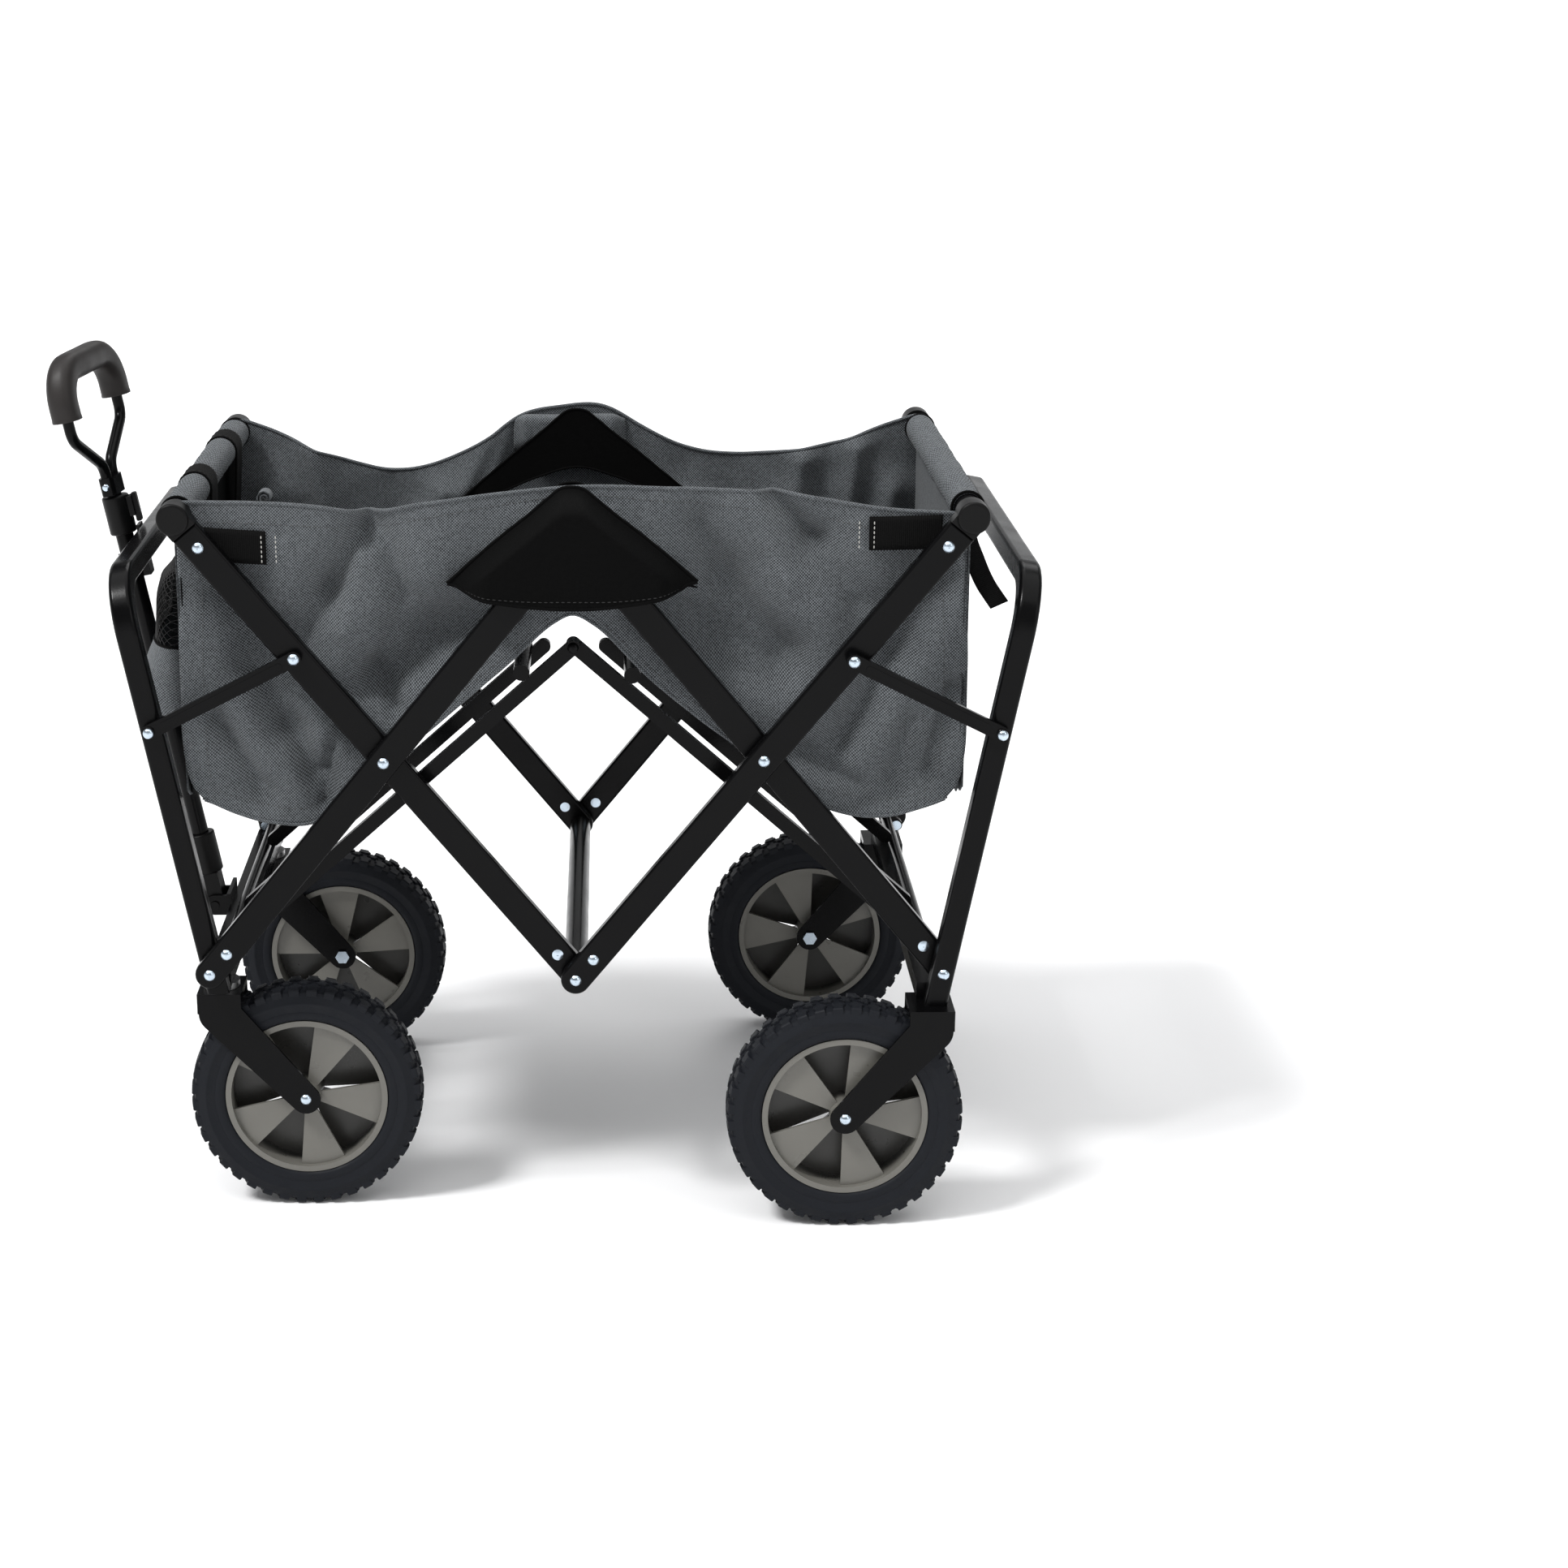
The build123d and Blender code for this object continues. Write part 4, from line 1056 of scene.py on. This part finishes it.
def swell(obj, cap):
    """Blows the pad up a little, like foam inside tight cloth, with each point kept near its start."""
    scene = bpy.context.scene
    start = np.array([v.co for v in obj.data.vertices])
    cloth = obj.modifiers.new("cloth", "CLOTH")
    settings = cloth.settings
    settings.quality = 5
    settings.mass = 0.3
    settings.use_pressure = True
    settings.uniform_pressure_force = 3.0
    settings.effector_weights.gravity = 0.0
    settings.tension_stiffness = 15
    cloth.point_cache.frame_start = 1
    cloth.point_cache.frame_end = SWELL_FRAMES
    for number in range(1, SWELL_FRAMES + 1):
        scene.frame_set(number)
    evaluated = obj.evaluated_get(bpy.context.evaluated_depsgraph_get())
    moved = np.array([v.co for v in evaluated.data.vertices])
    obj.modifiers.remove(cloth)
    scene.frame_set(1)
    shift = moved - start
    length = np.linalg.norm(shift, axis=1)[:, None]
    shift *= np.minimum(1.0, cap * MM / np.maximum(length, 1e-9))
    move_points(obj, start + shift)


def floor_pad(end):
    length, width, depth = PAD_TO - PAD_FROM, 366.0, 5.4
    mesh = pad_block(length, width, depth)
    data = bpy.data.meshes.new(f"{end}_floor_mat")
    mesh.to_mesh(data)
    mesh.free()
    obj = place(f"{end}_floor_mat", data)
    remesh = obj.modifiers.new("voxels", "REMESH")
    remesh.mode = "VOXEL"
    remesh.voxel_size = 0.0026
    shaped = bpy.data.meshes.new_from_object(obj.evaluated_get(bpy.context.evaluated_depsgraph_get()))
    obj.modifiers.remove(remesh)
    obj.data = shaped
    swell(obj, 1.6)
    co = np.array([v.co for v in obj.data.vertices]) / MM
    channels = (-length / 6, length / 6)
    quilt = sum(np.exp(-(((co[:, 0] - line) / 3.2) ** 2)) for line in channels)
    co[:, 2] -= np.sign(co[:, 2]) * np.clip(quilt, 0, 1) * 1.7
    middle, along, across, up = pad_frame(end)
    placed = middle + co[:, :1] * along + co[:, 1:2] * across + co[:, 2:] * up
    move_points(obj, to_frame(placed))
    paint(obj, CLOTH)
    obj.data.polygons.foreach_set("use_smooth", [True] * len(obj.data.polygons))
    set_uv(obj, co[:, :2] * MM)
    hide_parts(f"{end}_floor_pad")
    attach(obj, f"{end}_floor")
    for i, line in enumerate(channels):
        path = [middle + line * along + t * across + 2.1 * up for t in np.linspace(-180, 180, 120)]
        row = stitch_row(f"{end}_mat_quilting_{i}", path, up, GREY_THREAD)
        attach(row, f"{end}_floor")
    path = [middle + a * along + b * across for a, b in rounded_outline(length / 2, width / 2, 14.0)]
    piping = tube_piece(f"{end}_mat_piping", path, 1.6, BLACK_CLOTH, 8)
    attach(piping, f"{end}_floor")


def rounded_outline(half_x, half_y, radius):
    points = []
    for sx, sy, start in ((1, 1, 0), (-1, 1, 90), (-1, -1, 180), (1, -1, 270)):
        for k in range(9):
            angle = math.radians(start + k * 90 / 8)
            x = sx * (half_x - radius) + radius * math.cos(angle)
            points.append((x, sy * (half_y - radius) + radius * math.sin(angle)))
    points.append(points[0])
    return points


# --- handle ---

LEAN = math.radians(11.0)
TWIST = math.radians(-12.0)
HANDLE_X = -26.3
GRIP_TOP = 504.0
YOKE_MIDDLE = 392.0
GRIP_SIDES = 40


def handle_point(x, y, z):
    """A point in the handle's own tilted and twisted frame."""
    tx = x * math.cos(TWIST) - y * math.sin(TWIST)
    ty = x * math.sin(TWIST) + y * math.cos(TWIST)
    tx += HANDLE_X
    return (
        FOOT[0] + tx * math.cos(LEAN) - z * math.sin(LEAN),
        ty,
        FOOT[1] + tx * math.sin(LEAN) + z * math.cos(LEAN),
    )


def grip_path():
    """The D of the grip: up one side, over the top and down the other."""
    half, low, high, bend = 58.0, 462.0, GRIP_TOP, 30.0

    def corner(side, start):
        angles = [math.radians(start - k * 90 / 13) for k in range(1, 13)]
        middle = side * (half - bend)
        return [(0, middle + bend * math.cos(a), high - bend + bend * math.sin(a)) for a in angles]

    rise = np.linspace(low, high - bend, 8)
    points = [(0, -half, z) for z in rise] + corner(-1, 180)
    points += [(0, y, high) for y in np.linspace(-half + bend, half - bend, 70)]
    return points + corner(1, 90) + [(0, half, z) for z in rise[::-1]]


def moulded_grip():
    """The D grip: a soft square section, finger ribs under its top and a lip round each foot."""
    path = np.array(grip_path(), float)
    count = len(path)
    out = np.cross(tangents_along(path), np.array([1.0, 0, 0]))
    angles = full_turn(GRIP_SIDES)
    rows = []
    for i, (p, o) in enumerate(zip(path, out)):
        ribbed = smoothstep((34 - abs(p[1])) / 6.0) if p[2] > GRIP_TOP - 6 else 0.0
        foot = min(i, count - 1 - i)
        lip = 0.7 if foot < 2 else 0.0
        ring = []
        for a in angles:
            c, s = math.cos(a), math.sin(a)
            r = 12.9 * (abs(c) ** 2.6 + abs(s) ** 2.6) ** (-1 / 2.6) - 0.6 + lip
            r -= ribbed * 0.7 * (0.5 + 0.5 * math.cos(p[1] * 2 * math.pi / 3.4)) * max(0.0, -c) ** 0.5
            r = min(r, 13.3)
            ring.append(p + c * r * np.array([1.0, 0, 0]) + s * r * o)
        rows.append(ring)
    rows = np.array(rows)
    world = np.array([[handle_point(*q) for q in ring] for ring in rows])
    faces = grid_faces(count, GRIP_SIDES, closed=True)
    faces.append(tuple(range(GRIP_SIDES))[::-1])
    faces.append(tuple(range((count - 1) * GRIP_SIDES, count * GRIP_SIDES)))
    obj = piece("moulded_grip", world.reshape(-1, 3), faces, GRIP)
    mark_sharp(obj, 50)
    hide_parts("grip")
    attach(obj, "handle_grip")


def grip_screws():
    """Countersunk cross-head screws in the grip's top, facing the front."""
    rings = [(4.0, -0.2), (4.0, 0.5), (3.44, 0.9), (2.0, 1.0), (1.2, 0.35), (0.056, 0.3)]
    for name, side in SIDES.items():

        def point(r, out, k, angle):
            notch = 0.45 if out > 0.85 and k % 6 == 0 else 0.0
            y = side * 24.0 + r * math.cos(angle)
            return handle_point(-12.2 - out + notch, y, GRIP_TOP + r * math.sin(angle))

        bright_head(f"grip_screw_{name}", "handle_grip", rings, 24, point)


def yoke_rivets():
    """A rivet head on each side of the yoke."""
    rings = [(3.4, 0.0), (3.3, 0.7), (2.7, 1.5), (1.6, 2.0), (0.05, 2.2)]
    for name, side in SIDES.items():

        def point(r, h, _, angle):
            return handle_point(r * math.cos(angle), side * (14.0 + h), YOKE_MIDDLE + r * math.sin(angle))

        bright_head(f"yoke_rivet_{name}", "handle_grip", rings, 20, point)


# --- studio ---

def sun(name, direction, strength, spread_angle):
    """A soft lamp with no falloff, shining along a direction."""
    data = bpy.data.lights.new(name, "SUN")
    data.energy = strength
    data.angle = math.radians(spread_angle)
    lamp = place(name, data)
    lamp.rotation_euler = Vector(direction).to_track_quat("-Z", "Y").to_euler()


def studio():
    far = 90000
    corners = [(-far, -far, 0), (far, -far, 0), (far, far, 0), (-far, far, 0)]
    floor = piece("studio_floor", np.array(corners), [(0, 1, 2, 3)], pale_floor(), False)
    world = bpy.data.worlds.new("studio_air")
    world.use_nodes = True
    tree = world.node_tree
    direction = add(tree, "TexCoord").outputs["Generated"]
    height = add(tree, "SeparateXYZ", None, Vector=direction).outputs["Z"]
    glow = spread(tree, height, 1.0, 0.3, 0.1, 0.3)
    background = tree.nodes["Background"]
    background.inputs["Color"].default_value = (0.98, 0.99, 1.0, 1.0)
    tree.links.new(glow, background.inputs["Strength"])
    bpy.context.scene.world = world
    sun("key", (0.8, 0.48, -1.3), 2.6, 12.0)
    sun("overhead", (0.05, 0.1, -1.0), 1.9, 80.0)
    sun("fill", (-1.0, 0.8, -0.7), 0.35, 30.0)
    sun("back", (-0.2, -1.0, -0.9), 0.35, 25.0)
    bpy.context.scene.view_settings.view_transform = "Standard"


CAMERA_PLACE = (0.0669, -2.5115, 1.0899)
CAMERA_PITCH = 73.1


def camera():
    data = bpy.data.cameras.new("camera")
    data.lens = 65.69
    data.sensor_width = 36.0
    data.shift_x = 0.1314
    turn = Matrix.Rotation(0.0130, 4, "Z") @ Matrix.Rotation(math.radians(CAMERA_PITCH), 4, "X")
    turn = turn @ Matrix.Rotation(-0.0092, 4, "Z")
    obj = place("camera", data)
    obj.matrix_world = Matrix.Translation(CAMERA_PLACE) @ turn
    bpy.context.scene.camera = obj


finish_cad_nodes()
for side_name in SIDES:
    for end_name in ENDS:
        tyre(f"{side_name}_{end_name}")
side_panels()
strut_rivets()
floor_cloth()
end_panels()
rail_sleeves()
side_flaps()
webbing_tabs()
strap_tail()
curled_tab()
pocket()
for end_name in ENDS:
    floor_pad(end_name)
moulded_grip()
grip_screws()
yoke_rivets()
studio()
camera()
